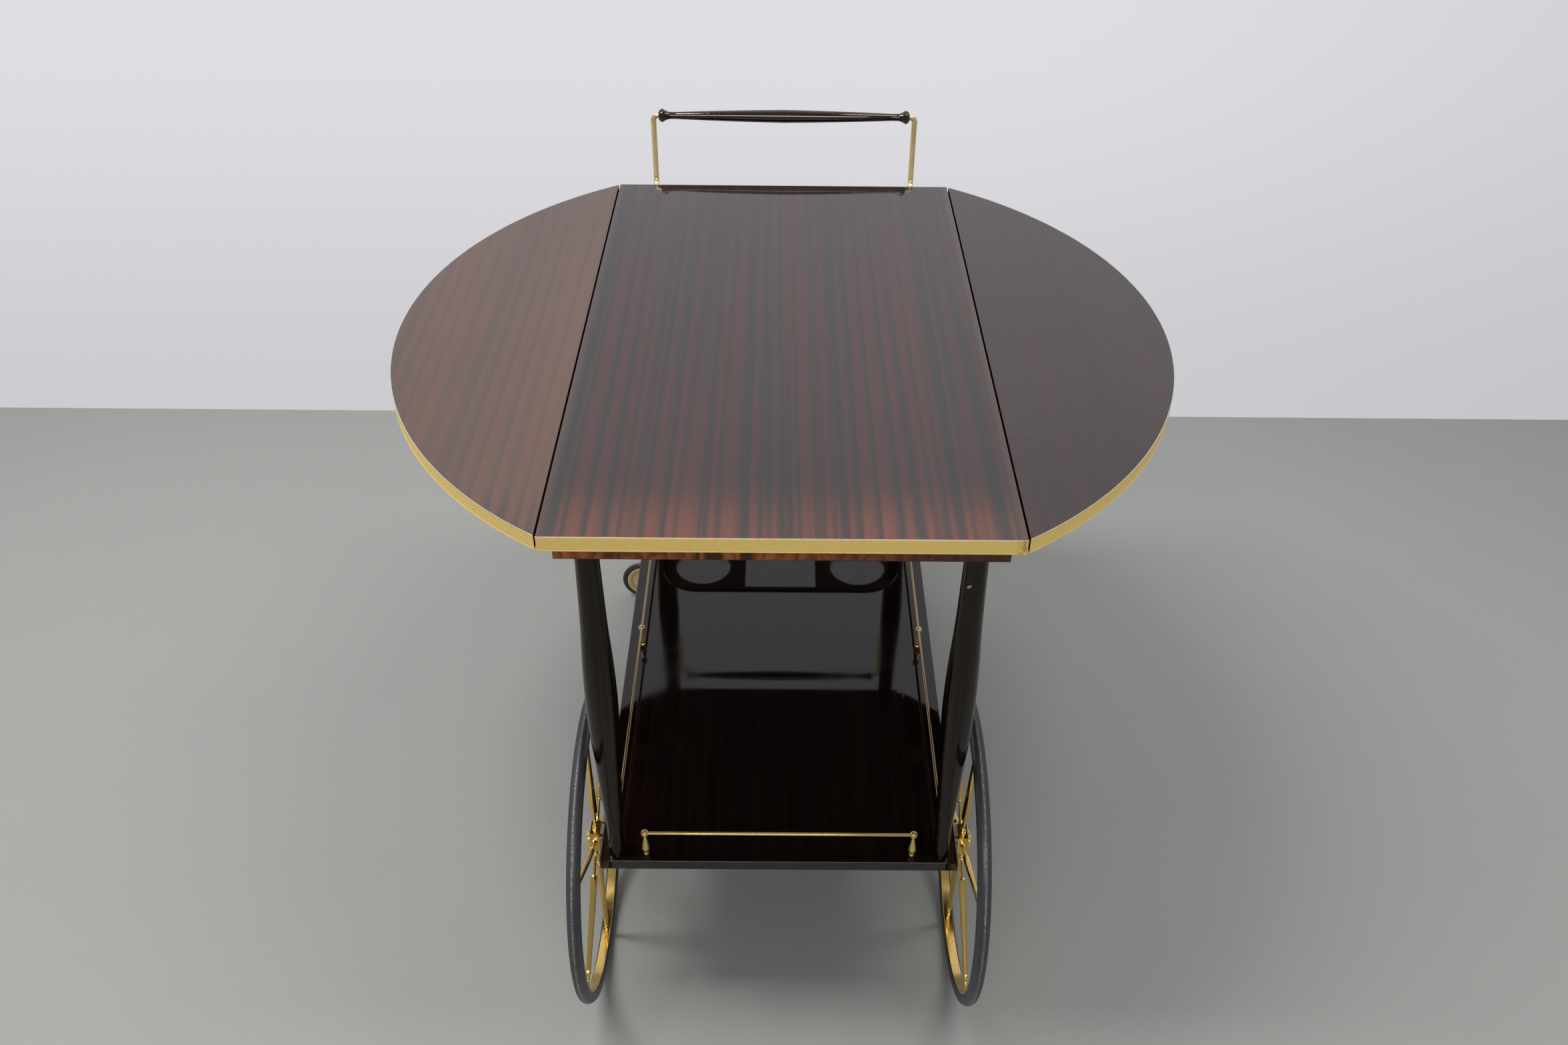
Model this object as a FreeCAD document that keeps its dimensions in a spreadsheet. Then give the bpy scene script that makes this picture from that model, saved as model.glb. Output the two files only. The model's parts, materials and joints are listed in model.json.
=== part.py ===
import FreeCAD, Part
import math
import os
import re
import Sketcher
from FreeCAD import Placement, Rotation, Vector

# Drop leaf tea trolley: round-ended table top with two folding leaves, turned legs, a lower shelf
# with a brass gallery and a bottle board, two large spoked wheels, two casters and a push handle.
# +Z is up and the origin is on the floor under the middle of the overall box. X runs across, the
# large wheels are at the -Y end and the handle is at the +Y end. Sizes are in millimetres and degrees.

driving = {
    # table top
    "top_width": 430, "top_length": 756, "board_thickness": 16, "band_thickness": 2,
    "leaf_reach": 200, "leaf_gap": 2.5, "leaf_end_inset": 2,
    "underboard_inset": 11, "underboard_end_inset": 9, "underboard_thickness": 16,
    # leaf hinges and stays
    "hinge_inset": 148, "hinge_length": 40, "hinge_drop": 3, "barrel_radius": 2.7,
    "flap_reach": 28, "flap_thickness": 2, "hinge_pin_radius": 1.5, "knuckle_gap": 0.3,
    "screw_radius": 1.4, "screw_head_radius": 3, "screw_head_height": 1, "screw_length": 10,
    "screw_place": 17, "screw_pitch": 24,
    "stay_inset": 4, "stay_drop": 8, "stay_run": 105, "stay_width": 14, "stay_thickness": 4,
    "stay_pin_radius": 2, "stay_eye_radius": 4, "cheek_thickness": 2, "stay_plate_length": 22,
    # lower shelf and legs
    "shelf_inset": 17, "shelf_end_inset": 27, "shelf_thickness": 14, "shelf_edge_round": 1.5,
    "leg_inset": 18.5, "leg_end_inset": 15, "leg_length": 442,
    "leg_top_radius": 11.2, "leg_shoulder_radius": 13.2, "leg_belly_radius": 16.3,
    "leg_calf_radius": 13.4, "leg_neck_radius": 8.5, "leg_foot_radius": 10,
    "leg_shoulder_drop": 110, "leg_belly_drop": 208, "leg_calf_drop": 296, "leg_neck_rise": 31,
    "leg_swell": 0.8, "leg_hollow": 0.5,
    # gallery
    "rail_radius": 1.7, "rail_height": 29, "end_rail_height": 34, "rail_seat": 4, "ball_radius": 4.3,
    "post_foot_radius": 2.6, "post_waist_radius": 1.7, "post_vase_radius": 4.4,
    "end_rail_inset": 32.5, "end_rail_shift": 4,
    # bottle board
    "holder_height": 120, "holder_set_off": 27, "holder_end_set_off": 52.5, "holder_thickness": 6,
    "holder_end_radius": 54.5, "holder_strip": 6.5, "holder_web": 23.5, "bottle_radius": 42,
    "bottle_shift": 8, "dowel_radius": 1.8, "dowel_length": 20,
    "stud_radius": 2.6, "stud_height": 1.6, "stud_angle": 62,
    # handle
    "handle_stand_off": 110, "handle_rise": 52, "rod_radius": 4, "rod_inset": 1.5, "rod_drop": 16,
    "rod_bend": 16, "rod_turn": 6, "rod_shank": 1, "rod_seat": 9, "peg_radius": 3,
    "grip_middle_radius": 8.6, "grip_neck_radius": 4.7, "grip_knob_radius": 9,
    "grip_neck_place": 24, "grip_knob_length": 12, "grip_socket": 7, "grip_swell": 0.5,
    # large wheels
    "wheel_radius": 180, "wheel_gap": 3.5, "axle_inset": 54, "axle_drop": 12, "axle_radius": 4.5,
    "tyre_section": 15, "tyre_seat": 2.5, "rim_width": 10, "rim_thickness": 3,
    "hub_flat_radius": 17, "hub_width": 12, "spoke_count": 6,
    "spoke_body_start": 42, "spoke_body_end": 17.5, "spoke_collar_radius": 3.5,
    "spoke_neck_radius": 2.2, "spoke_root_radius": 4.3, "spoke_tip_radius": 2.7,
    "spoke_ring_radius": 3.2, "spoke_pin_radius": 1.9, "spoke_seat": 2,
    "cap_radius": 11.5, "cap_dome_radius": 10, "cap_flat_radius": 4, "cap_height": 6,
    "left_wheel_turn": 31, "right_wheel_turn": 24,
    "bracket_inset": 33, "bracket_width": 22, "bracket_length": 20, "bracket_wall": 5,
    # casters
    "foot_shift_across": 3.5, "foot_shift_along": 2, "foot_top_radius": 13.5,
    "foot_waist_radius": 10.5, "ferrule_length": 37.7, "ferrule_radius": 9.5,
    "stem_radius": 4, "stem_length": 24, "crown_radius": 14, "crown_thickness": 6,
    "fork_thickness": 2.5, "fork_eye_radius": 6, "fork_root": 8, "caster_gap": 6,
    "caster_radius": 34, "caster_trail": 33, "caster_tyre_section": 8, "caster_disc_width": 9,
    "caster_rim_radius": 23, "caster_boss_radius": 7, "caster_boss_width": 13,
    "caster_pin_radius": 3, "caster_pin_head": 1.5, "caster_turn": 180,
    # fits
    "seat_clearance": 0.05, "running_clearance": 0.05, "side_clearance": 0.4, "rest_clearance": 0.3,
}

# Derived places, written once as formulas of the driving sizes
shelf_bottom = "(wheel_radius + axle_drop)"
shelf_top = f"({shelf_bottom} + shelf_thickness)"
under_bottom = f"({shelf_top} + leg_length)"
under_top = f"({under_bottom} + underboard_thickness)"
leaf_inner = "(top_width / 2 + leaf_gap)"
leaf_half_chord = "(top_length / 2 - leaf_end_inset)"
leaf_arc = f"(({leaf_half_chord}^2 + leaf_reach^2) / (2 * leaf_reach))"
leaf_centre = f"({leaf_inner} + leaf_reach - {leaf_arc})"
hinge_x = "(top_width / 2 + leaf_gap / 2)"
hinge_y = "(top_length / 2 - hinge_inset)"
hinge_z = f"({under_top} - hinge_drop)"
stay_x = "(top_width / 2 - underboard_inset - stay_inset)"
stay_z = f"({under_bottom} - stay_drop)"
stay_rise = f"({under_top} - rest_clearance - stay_thickness / 2 - {stay_z})"
shelf_half_width = "(top_width / 2 - shelf_inset)"
shelf_half_length = "(top_length / 2 - shelf_end_inset)"
leg_x = f"({shelf_half_width} - leg_inset)"
leg_y = f"({shelf_half_length} - leg_end_inset)"
rail_z = f"({shelf_top} + rail_height)"
end_rail_z = f"({shelf_top} + end_rail_height)"
rail_half = f"({leg_y} - leg_neck_radius + rail_seat)"
holder_y = f"({leg_y} - holder_set_off)"
holder_z = f"({shelf_top} + holder_height)"
holder_end_x = f"({leg_x} - holder_end_set_off)"
bottle_x = f"({holder_end_x} - bottle_shift)"
rod_x = f"({leg_x} - rod_inset)"
rod_z = f"({under_bottom} - rod_drop)"
rod_start = f"({leg_y} + leg_top_radius - rod_seat)"
grip_y = "(top_length / 2 + handle_stand_off)"
grip_z = f"({under_top} + board_thickness + handle_rise)"
grip_half = f"({rod_x} - rod_turn - rod_shank)"
wheel_x = f"({shelf_half_width} + wheel_gap + tyre_section / 2)"
wheel_y = f"(axle_inset - {shelf_half_length})"
box_middle = f"(({grip_y} + grip_knob_radius + {wheel_y} - wheel_radius) / 2)"
rim_outer = "(wheel_radius - tyre_section + tyre_seat)"
rim_inner = f"({rim_outer} - rim_thickness)"
bracket_x = f"({shelf_half_width} - bracket_inset)"
foot_x = f"({leg_x} + foot_shift_across)"
foot_y = f"({leg_y} + foot_shift_along)"
crown_bottom = "(2 * caster_radius + caster_gap)"
crown_top = f"({crown_bottom} + crown_thickness)"
crown_middle = f"({crown_bottom} + crown_thickness / 2)"
ferrule_bottom = f"({crown_top} + rest_clearance)"
ferrule_top = f"({ferrule_bottom} + ferrule_length)"

sides = {"left": -1, "right": 1}
ends = {"near": -1, "far": 1}
along_x = Rotation(Vector(0, 1, 0), 90)
along_y = Rotation(Vector(1, 0, 0), -90)

doc = FreeCAD.newDocument("tea_trolley")
sheet = doc.addObject("Spreadsheet::Sheet", "sizes")
for row, (name, value) in enumerate(driving.items(), 1):
    sheet.set(f"A{row}", name)
    sheet.set(f"B{row}", str(value))
    sheet.setAlias(f"B{row}", name)
doc.recompute()
pieces = []


def formula(text):
    def cell(word):
        return "sizes." + word.group() if word.group() in driving else word.group()
    return re.sub(r"[a-z]\w*", cell, str(text))


def number(text):
    value = sheet.evalExpression(formula(text))
    return float(getattr(value, "Value", value))


def keep(piece):
    # pieces are drawn about the middle of the table top and moved so that the overall box is centred
    drawn = {name.strip("."): text for name, text in piece.ExpressionEngine}
    along = drawn.get("Placement.Base.y", "0")
    piece.setExpression("Placement.Base.y", f"{along} - {formula(box_middle)}")
    pieces.append(piece)


def put(piece, at, turn=None):
    if turn:
        piece.Placement = Placement(Vector(), turn)
    for axis, text in zip("xyz", at):
        piece.setExpression("Placement.Base." + axis, formula(text))
    return piece


def primitive(kind, label, sizes, at, turn=None):
    piece = doc.addObject("Part::" + kind, label)
    for name, text in sizes.items():
        piece.setExpression(name, formula(text))
    return put(piece, at, turn)


def block(label, across, along, tall, middle_x, middle_y, bottom):
    sizes = {"Length": across, "Width": along, "Height": tall}
    corner = (f"{middle_x} - ({across}) / 2", f"{middle_y} - ({along}) / 2", bottom)
    return primitive("Box", label, sizes, corner)


def cylinder(label, radius, length, at, turn=None):
    return primitive("Cylinder", label, {"Radius": radius, "Height": length}, at, turn)


def disc_on_x(label, radius, width, side, middle_x, y, z):
    start = f"{side} * {middle_x} - ({width}) / 2"
    return cylinder(label, radius, width, (start, y, z), along_x)


def joined(label, *parts):
    piece = doc.addObject("Part::MultiFuse", label)
    piece.Shapes = list(parts)
    piece.Refine = True
    return piece


def cut(label, base, *tools):
    piece = doc.addObject("Part::Cut", label)
    piece.Base = base
    piece.Tool = tools[0] if len(tools) == 1 else group(label + "_tools", tools)
    return piece


def common(label, *parts):
    piece = doc.addObject("Part::MultiCommon", label)
    piece.Shapes = list(parts)
    return piece


def group(label, parts):
    piece = doc.addObject("Part::Compound", label)
    piece.Links = list(parts)
    return piece


def origin_plane(body, role):
    return next(plane for plane in body.Origin.OriginFeatures if plane.Role == role)


def new_sketch(body, role):
    sketch = body.newObject("Sketcher::SketchObject", body.Name + "_outline")
    sketch.AttachmentSupport = [(origin_plane(body, role), "")]
    sketch.MapMode = "FlatFace"
    return sketch


def dimension(sketch, kind, references, name, text):
    index = sketch.addConstraint(Sketcher.Constraint(kind, *references, number(text)))
    sketch.renameConstraint(index, name)
    sketch.setExpression("Constraints." + name, formula(text))


def fix_corner(sketch, edge, end, index, x, y):
    # a corner is held on the sketch axes, or by its signed distances from the sketch origin
    for kind, axis, text in (("DistanceX", -2, x), ("DistanceY", -1, y)):
        if text == "0":
            sketch.addConstraint(Sketcher.Constraint("PointOnObject", edge, end, axis))
        else:
            dimension(sketch, kind, (-1, 1, edge, end), f"{kind}{index}", text)


def draw_outline(sketch, outline):
    # outline: (x, y) corners, with a third value where the edge to the next corner is an arc:
    # how far that arc swells to the right of its chord
    corners = [Vector(number(corner[0]), number(corner[1]), 0) for corner in outline]
    starts = []
    for index, start in enumerate(corners):
        end = corners[(index + 1) % len(corners)]
        if len(outline[index]) == 3:
            chord = end - start
            swell = Vector(chord.y, -chord.x, 0).normalize() * number(outline[index][2])
            middle = (start + end) * 0.5 + swell
            inward = number(outline[index][2]) < 0
            arc = Part.Arc(end, middle, start) if inward else Part.Arc(start, middle, end)
            sketch.addGeometry(arc, False)
        else:
            sketch.addGeometry(Part.LineSegment(start, end), False)
        first = sketch.Geometry[index].StartPoint
        starts.append(1 if first.distanceToPoint(start) < first.distanceToPoint(end) else 2)
    for index, corner in enumerate(outline):
        before = index - 1 if index else len(outline) - 1
        joint = (before, 3 - starts[before], index, starts[index])
        sketch.addConstraint(Sketcher.Constraint("Coincident", *joint))
        fix_corner(sketch, index, starts[index], index, corner[0], corner[1])
        if len(corner) == 3:
            after, rise = outline[(index + 1) % len(outline)], f"({corner[2]})"
            chord = f"((({after[0]}) - ({corner[0]}))^2 + (({after[1]}) - ({corner[1]}))^2)"
            radius = f"({chord} / 4 + {rise}^2) / (2 * abs({rise}))"
            dimension(sketch, "Radius", (index,), f"Radius{index}", radius)


def turned(label, outline, at, turn=None):
    # a piece turned about its own Z: outline corners are (radius, height) from bottom to top
    body = doc.addObject("PartDesign::Body", label)
    sketch = new_sketch(body, "XZ_Plane")
    draw_outline(sketch, outline)
    turning = body.newObject("PartDesign::Revolution", label + "_turning")
    turning.Profile = sketch
    turning.ReferenceAxis = (sketch, ["V_Axis"])
    turning.Angle = 360
    return put(body, at, turn)


def board(label, width, length, thickness, bottom, edge_round=None):
    # a flat rectangular board about the Z axis, with its top edges rounded if asked
    body = doc.addObject("PartDesign::Body", label)
    sketch = new_sketch(body, "XY_Plane")
    half_x, half_y = f"({width}) / 2", f"({length}) / 2"
    draw_outline(sketch, [(f"-{half_x}", f"-{half_y}"), (half_x, f"-{half_y}"),
                          (half_x, half_y), (f"-{half_x}", half_y)])
    pad = body.newObject("PartDesign::Pad", label + "_pad")
    pad.Profile = sketch
    pad.setExpression("Length", formula(thickness))
    if edge_round:
        doc.recompute()
        top = number(thickness)
        names = [f"Edge{index}" for index, edge in enumerate(pad.Shape.Edges, 1)
                 if all(abs(vertex.Z - top) < 1e-6 for vertex in edge.Vertexes)]
        fillet = body.newObject("PartDesign::Fillet", label + "_round")
        fillet.Base = (pad, names)
        fillet.setExpression("Radius", formula(f"min({edge_round}; {thickness} / 3)"))
    return put(body, ("0", "0", bottom))


def build_centre():
    length = "top_length - 2 * band_thickness"
    keep(board("centre_top", "top_width", length, "board_thickness", under_top))
    for end, sign in ends.items():
        middle = f"{sign} * (top_length - band_thickness) / 2"
        keep(block(f"centre_band_{end}", "top_width", "band_thickness", "board_thickness",
                   "0", middle, under_top))


def build_underboard():
    width = "top_width - 2 * underboard_inset"
    length = "top_length - 2 * underboard_end_inset"
    plain = board("underboard_plain", width, length, "underboard_thickness", under_bottom)
    pockets = []
    for side, sign in sides.items():
        for end, way in ends.items():
            # pocket that lets the fixed hinge flap lie flat against the table top
            middle = f"{sign} * ({hinge_x} - flap_reach / 2)"
            bottom = f"{under_top} - flap_thickness - rest_clearance"
            pockets.append(block(f"hinge_pocket_{side}_{end}", "flap_reach + 2 * rest_clearance",
                                 "hinge_length + 2 * rest_clearance",
                                 "flap_thickness + 2 * rest_clearance",
                                 middle, f"{way} * {hinge_y}", bottom))
    keep(cut("underboard", plain, *pockets))


def screw_places(side, end):
    # two screws in each leaf flap, as (name, x, y)
    sign, way = sides[side], ends[end]
    x = f"{sign} * ({hinge_x} + screw_place)"
    return [(f"{side}_{end}_{count}", x, f"{way} * {hinge_y} + {step} * screw_pitch / 2")
            for count, step in ((1, -1), (2, 1))]


def build_leaf(side):
    sign = sides[side]
    middle = f"{sign} * {leaf_centre}"
    edge = f"{sign} * ({leaf_inner} + leaf_reach / 2)"
    at = (middle, "0", under_top)
    zone = block(f"leaf_{side}_zone", "leaf_reach", f"2 * {leaf_half_chord}", "board_thickness",
                 edge, "0", under_top)
    outer = cylinder(f"leaf_{side}_outer", leaf_arc, "board_thickness", at)
    inner = cylinder(f"leaf_{side}_inner", f"{leaf_arc} - band_thickness", "board_thickness", at)
    plain = common(f"leaf_{side}_plain", zone, inner)
    ring = cut(f"leaf_{side}_ring", outer, inner)
    keep(common(f"leaf_{side}_band", zone, ring))
    holes = []
    for end in ends:
        for name, x, y in screw_places(side, end):
            top = f"{hinge_z} + hinge_drop - flap_thickness + screw_length + rest_clearance"
            holes.append(cylinder(f"leaf_hole_{name}", "screw_radius + seat_clearance",
                                  f"{top} - {under_top}", (x, y, under_top)))
    keep(cut(f"leaf_{side}", plain, *holes))


def hinge_half(side, end, half):
    # fixed half: outer knuckles and a flap towards the middle; leaf half: the middle knuckle
    sign, way = sides[side], ends[end]
    name = f"hinge_{side}_{half}_{end}"
    y = f"{way} * {hinge_y}"
    reach = -sign if half == "fixed" else sign
    third = "hinge_length / 3"
    flap_bottom = f"{hinge_z} + hinge_drop - flap_thickness"
    stand_off = "(barrel_radius + side_clearance)"
    flap_x = f"{sign} * {hinge_x} + {reach} * (flap_reach + {stand_off}) / 2"
    parts = [block(f"{name}_flap", f"flap_reach - {stand_off}", "hinge_length", "flap_thickness",
                   flap_x, y, flap_bottom)]
    bridge_x = f"{sign} * {hinge_x} + {reach} * {stand_off} / 2"
    for step in ((-1, 1) if half == "fixed" else (0,)):
        middle = f"{y} + {step} * {third}"
        length = f"{third} - knuckle_gap"
        parts.append(block(f"{name}_bridge{step + 1}", stand_off, length, "flap_thickness",
                           bridge_x, middle, flap_bottom))
        parts.append(cylinder(f"{name}_barrel{step + 1}", "barrel_radius", length,
                              (f"{sign} * {hinge_x}", f"{middle} - ({length}) / 2", hinge_z),
                              along_y))
    bore = cylinder(f"{name}_bore", "hinge_pin_radius + running_clearance", "hinge_length + 2",
                    (f"{sign} * {hinge_x}", f"{y} - hinge_length / 2 - 1", hinge_z), along_y)
    tools = [bore]
    if half == "leaf":
        for hole, x, place in screw_places(side, end):
            tools.append(cylinder(f"flap_hole_{hole}", "screw_radius + seat_clearance",
                                  "3 * flap_thickness", (x, place, f"{flap_bottom} - flap_thickness")))
    return cut(name, joined(f"{name}_solid", *parts), *tools)


def leaf_screw(name, x, y):
    seat = f"{hinge_z} + hinge_drop - flap_thickness"
    head = cylinder(f"screw_head_{name}", "screw_head_radius", "screw_head_height",
                    (x, y, f"{seat} - screw_head_height"))
    shank = cylinder(f"screw_shank_{name}", "screw_radius", "screw_length", (x, y, seat))
    return joined(f"screw_{name}", head, shank)


def build_hinges():
    pins = []
    for side, sign in sides.items():
        for half in ("fixed", "leaf"):
            halves = [hinge_half(side, end, half) for end in ends]
            keep(group(f"hinge_{side}_{half}", halves))
        screws = []
        for end, way in ends.items():
            screws += [leaf_screw(*place) for place in screw_places(side, end)]
            start = f"{way} * {hinge_y} - hinge_length / 2"
            pins.append(cylinder(f"hinge_pin_{side}_{end}", "hinge_pin_radius", "hinge_length",
                                 (f"{sign} * {hinge_x}", start, hinge_z), along_y))
        keep(group(f"hinge_{side}_screws", screws))
    keep(group("hinge_pins", pins))


def build_stays():
    brackets, pins = [], []
    cheek_middle = "(stay_width / 2 + side_clearance + cheek_thickness / 2)"
    for side, sign in sides.items():
        x = f"{sign} * {stay_x}"
        plate = block(f"stay_plate_{side}", "stay_plate_length",
                      f"2 * {cheek_middle} + cheek_thickness", "cheek_thickness",
                      x, "0", f"{under_bottom} - cheek_thickness")
        cheeks = []
        for end, way in ends.items():
            cheeks.append(block(f"stay_cheek_{side}_{end}", "3 * stay_eye_radius", "cheek_thickness",
                                "stay_drop + stay_eye_radius - cheek_thickness", x,
                                f"{way} * {cheek_middle}", f"{stay_z} - stay_eye_radius"))
        pin_length = f"(2 * {cheek_middle} + 2 * cheek_thickness)"
        pin_at = (x, f"-{pin_length} / 2", stay_z)
        hole = cylinder(f"stay_cheek_hole_{side}", "stay_pin_radius + seat_clearance",
                        pin_length, pin_at, along_y)
        brackets.append(cut(f"stay_bracket_{side}",
                            joined(f"stay_bracket_{side}_solid", plate, *cheeks), hole))
        pins.append(cylinder(f"stay_pin_{side}", "stay_pin_radius", pin_length, pin_at, along_y))

        # arm: a flat bar from its eye to a rounded tip under the leaf, drawn lying along X
        length = f"sqrt(stay_run^2 + {stay_rise}^2)"
        y = "-stay_width / 2"
        bar = primitive("Box", f"stay_bar_{side}",
                        {"Length": length, "Width": "stay_width", "Height": "stay_thickness"},
                        ("0", y, "-stay_thickness / 2"))
        eye = cylinder(f"stay_eye_{side}", "stay_eye_radius", "stay_width", ("0", y, "0"), along_y)
        tip = cylinder(f"stay_tip_{side}", "stay_thickness / 2", "stay_width", (length, y, "0"),
                       along_y)
        bore = cylinder(f"stay_bore_{side}", "stay_pin_radius + running_clearance",
                        "stay_width + 2", ("0", f"{y} - 1", "0"), along_y)
        arm = cut(f"stay_arm_{side}", joined(f"stay_arm_{side}_solid", bar, eye, tip), bore)
        lift = math.degrees(math.atan2(number(stay_rise), number("stay_run")))
        facing = Rotation(Vector(0, 0, 1), 0 if sign > 0 else 180)
        keep(put(arm, (x, "0", stay_z), facing.multiply(Rotation(Vector(0, 1, 0), -lift))))
    keep(group("stay_brackets", brackets))
    keep(group("stay_pins", pins))


leg_outline = [
    ("0", "0"), ("leg_foot_radius", "0", "-leg_hollow"),
    ("leg_neck_radius", "leg_neck_rise"),
    ("leg_calf_radius", "leg_length - leg_calf_drop", "leg_swell"),
    ("leg_belly_radius", "leg_length - leg_belly_drop", "leg_swell"),
    ("leg_shoulder_radius", "leg_length - leg_shoulder_drop"),
    ("leg_top_radius", "leg_length"), ("0", "leg_length"),
]


def dowel(label, side, radius, extra):
    # brass dowel screw from the leg's axis into the end of the bottle board
    sign = sides[side]
    way = Vector(-sign * number("holder_end_set_off"), -number("holder_set_off"), 0).normalize()
    at = (f"{sign} * {leg_x} - ({way.x}) * {extra}", f"{leg_y} - ({way.y}) * {extra}",
          f"{holder_z} + holder_thickness / 2")
    length = f"dowel_length + 2 * {extra}"
    return cylinder(label, radius, length, at, Rotation(Vector(0, 0, 1), way))


def build_legs():
    for end, way in ends.items():
        for side, sign in sides.items():
            name = f"leg_{end}_{side}"
            x, y = f"{sign} * {leg_x}", f"{way} * {leg_y}"
            plain = turned(f"{name}_plain", leg_outline, (x, y, shelf_top))
            # the side rail, the dowel of the bottle board and the handle rod seat in the leg
            seat = "seat_clearance"
            holes = [cylinder(f"{name}_rail_hole", f"rail_radius + {seat}", f"2 * ({rail_half} + {seat})",
                              (x, f"-{rail_half} - {seat}", rail_z), along_y)]
            if end == "far":
                holes.append(dowel(f"{name}_dowel_hole", side, f"dowel_radius + {seat}", "rest_clearance"))
                holes.append(cylinder(f"{name}_rod_hole", f"rod_radius + {seat}", "2 * rod_seat",
                                      (f"{sign} * {rod_x}", f"{rod_start} - {seat}", rod_z), along_y))
            keep(cut(name, plain, *holes))


def build_shelf():
    keep(board("lower_shelf", f"2 * {shelf_half_width}", f"2 * {shelf_half_length}",
               "shelf_thickness", shelf_bottom, "shelf_edge_round"))


def post_outline(tall):
    # foot, waist, vase and a slim neck that runs up into the ball
    return [
        ("0", "0"), ("post_foot_radius", "0"), ("post_foot_radius", "post_foot_radius / 2"),
        ("post_waist_radius", "post_foot_radius * 1.3"),
        ("post_vase_radius", f"{tall} / 3", "-post_waist_radius / 2"),
        ("post_waist_radius", f"{tall} - ball_radius"), ("post_waist_radius", tall), ("0", tall),
    ]


def build_gallery():
    # a post halfway along each side rail and two taller ones under the near rail; each ball is drilled
    near_y = f"-({leg_y} + end_rail_shift)"
    end_half = f"({leg_x} - end_rail_inset)"
    places = {}
    for side, sign in sides.items():
        places[f"side_{side}"] = (f"{sign} * {leg_x}", "0", along_y, "rail_height", rail_z)
        places[f"near_{side}"] = (f"{sign} * {end_half}", near_y, along_x, "end_rail_height", end_rail_z)
    posts = []
    for name, (x, y, way, tall, z) in places.items():
        stem = turned(f"post_{name}_stem", post_outline(tall), (x, y, shelf_top))
        ball = primitive("Sphere", f"post_{name}_ball", {"Radius": "ball_radius"}, (x, y, z))
        start = (f"{x} - 2 * ball_radius", y) if way is along_x else (x, f"{y} - 2 * ball_radius")
        hole = cylinder(f"post_{name}_hole", "rail_radius + seat_clearance", "4 * ball_radius",
                        (*start, z), way)
        posts.append(cut(f"post_{name}", joined(f"post_{name}_solid", stem, ball), hole))
    keep(group("gallery_posts", posts))
    for side, sign in sides.items():
        keep(cylinder(f"gallery_rail_{side}", "rail_radius", f"2 * {rail_half}",
                      (f"{sign} * {leg_x}", f"-{rail_half}", rail_z), along_y))
    near_half = f"({end_half} + ball_radius / 2)"
    keep(cylinder("gallery_rail_near", "rail_radius", f"2 * {near_half}",
                  (f"-{near_half}", near_y, end_rail_z), along_x))


def build_holder():
    # two ring ends that hold a bottle each, and two bars between them
    thick, below = "holder_thickness", f"{holder_z} - holder_thickness"
    window = f"({bottle_x} - bottle_radius - holder_web)"
    dowels, studs = [], []
    for side, sign in sides.items():
        end_x = f"{sign} * {holder_end_x}"
        ring = cylinder(f"holder_end_{side}", "holder_end_radius", thick, (end_x, holder_y, holder_z))
        web = block(f"holder_web_{side}", f"{holder_end_x} - {window}", "2 * holder_end_radius", thick,
                    f"{sign} * ({holder_end_x} + {window}) / 2", holder_y, holder_z)
        hole = cylinder(f"bottle_hole_{side}", "bottle_radius", f"3 * {thick}",
                        (f"{sign} * {bottle_x}", holder_y, below))
        # the end is scooped round the leg, which the dowel joins to it
        scoop_radius = "leg_calf_radius + (leg_belly_radius - leg_calf_radius) / 3 + rest_clearance"
        scoop = cylinder(f"holder_scoop_{side}", scoop_radius, f"3 * {thick}",
                         (f"{sign} * {leg_x}", leg_y, below))
        dowel_hole = dowel(f"holder_dowel_hole_{side}", side, "dowel_radius + seat_clearance",
                           "rest_clearance")
        solid = joined(f"holder_solid_{side}", web, ring)
        keep(cut(f"bottle_holder_{side}", solid, hole, scoop, dowel_hole))
        dowels.append(dowel(f"holder_dowel_{side}", side, "dowel_radius", "0"))
        # small brass stud under the end, on the side away from the leg
        set_in = "(holder_end_radius - 1.5 * stud_radius)"
        stud_x = f"{sign} * ({holder_end_x} + {set_in} * cos(stud_angle * 1deg))"
        stud_y = f"{holder_y} - {set_in} * sin(stud_angle * 1deg)"
        studs.append(cylinder(f"holder_stud_{side}", "stud_radius", "stud_height",
                              (stud_x, stud_y, f"{holder_z} - stud_height")))
    bars = []
    for end, way in ends.items():
        middle = f"{holder_y} + {way} * (holder_end_radius - holder_strip / 2)"
        bars.append(block(f"holder_bar_{end}", f"2 * {window}", "holder_strip", thick,
                          "0", middle, holder_z))
    keep(group("bottle_holder_bars", bars))
    keep(group("holder_dowels", dowels))
    keep(group("holder_studs", studs))


def build_handle():
    neck, knob, swell = "grip_neck_place", "grip_knob_length", "grip_knob_radius - grip_neck_radius"
    outline = [("0", f"-{grip_half}"), ("grip_neck_radius", f"-{grip_half}", swell),
               ("grip_neck_radius", f"{knob} - {grip_half}"),
               ("grip_neck_radius", f"{neck} - {grip_half}", "grip_swell"),
               ("grip_middle_radius", "0", "grip_swell"),
               ("grip_neck_radius", f"{grip_half} - {neck}"),
               ("grip_neck_radius", f"{grip_half} - {knob}", swell),
               ("grip_neck_radius", grip_half), ("0", grip_half)]
    plain = turned("handle_grip_plain", outline, ("0", grip_y, grip_z), along_x)
    sockets = []
    for side, sign in sides.items():
        depth = "(grip_socket + seat_clearance)"
        sockets.append(cylinder(f"grip_socket_{side}", "peg_radius + seat_clearance", f"2 * {depth}",
                                (f"{sign} * {grip_half} - {depth}", grip_y, grip_z), along_x))
    keep(cut("handle_grip", plain, *sockets))
    for side, sign in sides.items():
        keep(handle_rod(side, sign))


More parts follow.
